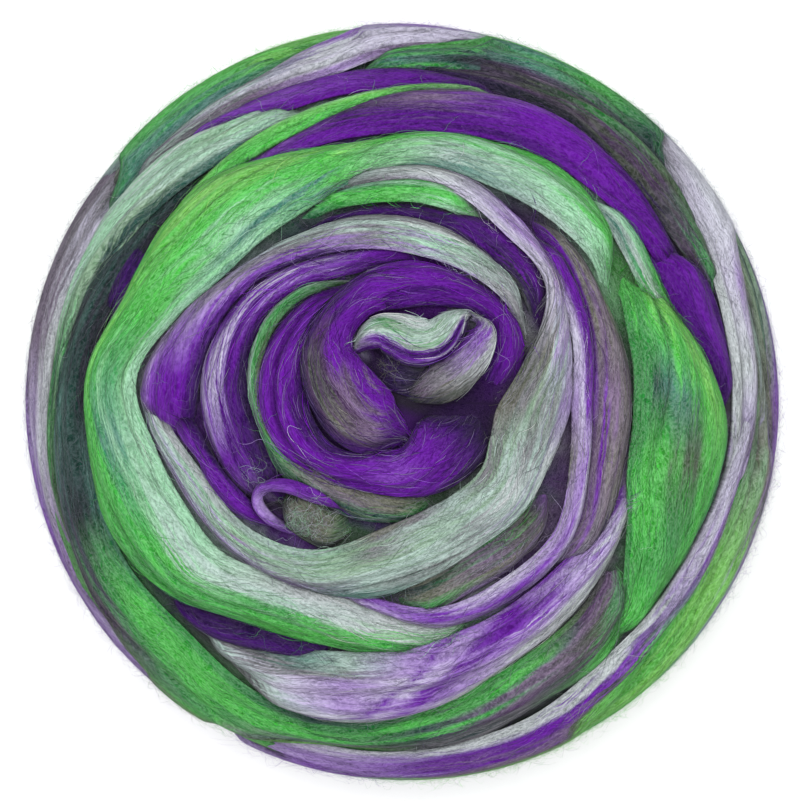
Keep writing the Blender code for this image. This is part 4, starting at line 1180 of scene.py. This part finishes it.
def wool_material(name, streaks, hair_light):
    """Combed wool. streaks is how strong the fine streaks along the fibres are, and
    hair_light how strong the thin pale hairs are."""
    material = bpy.data.materials.new(name)
    n = Nodes(material)
    run = n.add("ShaderNodeAttribute", attribute_name="fibre").outputs["Vector"]
    along, across, seed = n.add("ShaderNodeSeparateXYZ", {0: run}).outputs
    first = n.add("ShaderNodeAttribute", attribute_name="shade")
    second = n.add("ShaderNodeAttribute", attribute_name="streak")

    # The fibres sway and crimp as they run, so finer patterns are read from a shifted place.
    sway_at = n.combine(n.times(along, 0.09), n.times(across, 0.25), seed)
    sway = n.spread(n.noise(sway_at, detail=1.0), 0.0, 1.0, -1.6, 1.6)
    crimp_at = n.combine(n.times(along, 1.05), n.times(across, 0.8), seed)
    crimp = n.spread(n.noise(crimp_at, detail=1.0), 0.0, 1.0, -0.42, 0.42)
    swayed = n.plus(across, sway)

    def lanes(speed, count, slant, crimped, shift, detail=0.0):
        """Noise in lanes along the fibres: changes to a mm along, and lanes to a mm across."""
        place = n.plus(swayed, n.times(crimp, crimped))
        lane = n.times(n.plus(place, n.times(along, slant)), count)
        at = n.combine(n.times(along, speed), lane, n.plus(seed, shift))
        return n.noise(at, detail=detail, roughness=0.6)

    def hairs(speed, count, slant, crimped, shift, thin):
        """Thin wavering lines, along the places where a pattern of lanes is at its middle."""
        off = n.math("ABSOLUTE", n.math("SUBTRACT", lanes(speed, count, slant, crimped, shift), 0.5))
        return n.spread(off, 0.0, thin, 1.0, 0.0)

    def toned(pattern, darker, lighter):
        return n.spread(pattern, 0.3, 0.7, 1 - darker * streaks, 1 + lighter * streaks)

    locks = lanes(0.030, 0.8, slant=0.0, crimped=0.5, shift=0.0, detail=1.0)
    strands = lanes(0.05, 2.5, slant=0.0, crimped=0.35, shift=5.0, detail=1.0)
    straight = hairs(0.16, 1.5, slant=0.0, crimped=0.8, shift=9.0, thin=0.12)
    leaning = hairs(0.30, 0.95, slant=0.42, crimped=-1.0, shift=13.0, thin=0.11)
    crossing = hairs(0.30, 0.95, slant=-0.5, crimped=0.8, shift=21.0, thin=0.11)
    gaps = hairs(0.12, 1.7, slant=0.06, crimped=0.6, shift=31.0, thin=0.10)
    tangled = hairs(1.0, 1.3, slant=0.0, crimped=0.5, shift=41.0, thin=0.08)
    fluff_at = n.combine(n.times(along, 1.2), n.times(across, 3.4), seed)
    fluff = n.noise(fluff_at, detail=2.0, roughness=0.7)

    # The wool of the turn itself, with streaks of the wool beside it.
    split = n.spread(strands, 0.44, 0.56, 0.0, 1.0)
    mixed = n.mix(split, first.outputs["Color"], second.outputs["Color"])
    tone = n.times(toned(locks, 0.16, 0.14), toned(strands, 0.16, 0.16))
    # Darker along the gaps between fibres: painted shade in the gaps, which the bump also sinks.
    tone = n.times(tone, n.spread(gaps, 0.0, 1.0, 1.0, 1 - 0.30 * streaks))
    tone = n.times(tone, toned(fluff, 0.17, 0.14))
    dyed = n.vector("SCALE", {0: mixed, 3: tone})

    # The thin hairs over it are a little lighter, and paler still over greenish wool.
    # faint is scaled by the alpha of the shade attribute, the painted crease shade, so the hairs lighten
    # less in the creases.
    faint = n.vector("SCALE", {0: (0.024, 0.014, 0.030), 3: first.outputs["Alpha"]})
    green = n.add("ShaderNodeSeparateColor", {0: mixed}).outputs["Green"]
    paler = n.math("MINIMUM", n.times(green, 0.9), 0.07)
    light = n.vector("MULTIPLY_ADD", {0: mixed, 1: (1.2, 1.2, 1.2), 2: faint})
    light = n.vector("ADD", {0: light, 1: n.combine(paler, paler, paler)})
    slanting = n.math("MAXIMUM", leaning, crossing)
    fine = n.math("MAXIMUM", n.math("MAXIMUM", straight, tangled), slanting)
    pale_hairs = n.times(fine, n.spread(fluff, 0.35, 0.6, 0.25 * hair_light, hair_light))
    n.put(n.shader.inputs["Base Color"], n.mix(pale_hairs, dyed, light))

    height = n.math("SUBTRACT", n.plus(fine, n.times(strands, 1.2)), n.times(gaps, 0.8))
    height = n.plus(height, n.times(fluff, 0.8))
    bump = n.add("ShaderNodeBump", {"Height": height, "Strength": 0.6, "Distance": 0.00020})
    n.put(n.shader.inputs["Normal"], bump.outputs[0])
    n.put(n.shader.inputs["Roughness"], n.spread(fluff, 0.3, 0.7, 0.90, 1.0))
    n.shader.inputs["Specular IOR Level"].default_value = 0.06
    n.shader.inputs["Sheen Weight"].default_value = 0.05
    n.shader.inputs["Sheen Roughness"].default_value = 0.4
    return material


def floor_material():
    material = bpy.data.materials.new("studio_paper")
    n = Nodes(material)
    grain = n.noise(n.add("ShaderNodeTexCoord").outputs["Object"], scale=180.0, detail=4.0)
    paper = n.mix(grain, (0.93, 0.93, 0.93, 1), (0.96, 0.96, 0.96, 1))
    n.put(n.shader.inputs["Base Color"], paper)
    n.shader.inputs["Roughness"].default_value = 0.9
    n.shader.inputs["Specular IOR Level"].default_value = 0.1
    return material


# ---------------------------------------------------------------- the piece


def built(make, table, first_seed):
    return [make(row, first_seed + number) for number, row in enumerate(table)]


def build_ball():
    groups = {
        "turns_middle": built(make_turn, TURNS[:MIDDLE_END], 20) + built(make_fold, FOLDS, 90),
        "turns_inner": built(make_turn, TURNS[MIDDLE_END:INNER_END], 30),
        "turns_outer": built(make_turn, TURNS[INNER_END:], 50),
        "turns_side": built(make_side_turn, SIDE_TURNS, 80),
    }
    tree = strands_tree([item for group in groups.values() for item in group])
    groups = {name: [shaded(item, tree) for item in group] for name, group in groups.items()}
    wool = wool_material("combed_wool", streaks=1.0, hair_light=0.7)
    for name, strands in groups.items():
        strands_piece(name, strands, wool)
    strands = [item for group in groups.values() for item in group]
    filling_piece(strands, wool)
    rng = np.random.default_rng(17)
    loose = wool_material("loose_fibres", streaks=0.35, hair_light=0.0)
    found = [loose_fibres(item, tree, rng) for item in strands]
    lines, sides, colours = (np.concatenate(part) for part in zip(*found))
    order = rng.permutation(len(lines))[:MOST_FIBRES]
    lines, sides, colours = lines[order], sides[order], colours[order]
    for number, start in enumerate(range(0, len(lines), FIBRES_TO_A_PIECE)):
        part = slice(start, start + FIBRES_TO_A_PIECE)
        ribbons_piece(f"fibres_{number + 1}", lines[part], sides[part], colours[part], loose)
    ribbons_piece("stray_hairs", *stray_hairs(tree, strands, rng), loose)
    ribbons_piece("rim_hairs", *rim_hairs(strands, rng), loose)


def build_floor():
    mesh = bpy.data.meshes.new("floor")
    corners = [(x * FLOOR_HALF, y * FLOOR_HALF, 0) for x, y in ((-1, -1), (1, -1), (1, 1), (-1, 1))]
    mesh.from_pydata(corners, [], [(0, 1, 2, 3)])
    mesh.materials.append(floor_material())
    floor = bpy.data.objects.new("floor", mesh)
    bpy.context.scene.collection.objects.link(floor)


def area_light(name, place, size, watts):
    light = bpy.data.lights.new(name, "AREA")
    light.size = size
    light.energy = watts
    lamp = bpy.data.objects.new(name, light)
    lamp.location = place
    lamp.rotation_euler = (Vector(LIGHTS_AIM) - Vector(place)).to_track_quat("-Z", "Y").to_euler()
    bpy.context.scene.collection.objects.link(lamp)


def build_studio():
    world = bpy.data.worlds.new("studio")
    bpy.context.scene.world = world
    world.use_nodes = True
    world.node_tree.nodes["Background"].inputs[0].default_value = (1, 1, 1, 1)
    world.node_tree.nodes["Background"].inputs[1].default_value = SKY_STRENGTH
    area_light("key_light", *KEY_LIGHT)
    area_light("fill_light", *FILL_LIGHT)
    bpy.context.scene.view_settings.view_transform = "Standard"


def build_camera():
    data = bpy.data.cameras.new("camera")
    data.lens, data.sensor_width = LENS, SENSOR
    data.clip_start, data.clip_end = 0.05, 20.0
    camera = bpy.data.objects.new("camera", data)
    away = LENS * FRAME_WIDTH / SENSOR
    camera.location = (VIEW_CENTRE[0] * MM, VIEW_CENTRE[1] * MM, (RIM_HEIGHT + away) * MM)
    bpy.context.scene.collection.objects.link(camera)
    bpy.context.scene.camera = camera


build_ball()
build_floor()
build_studio()
build_camera()
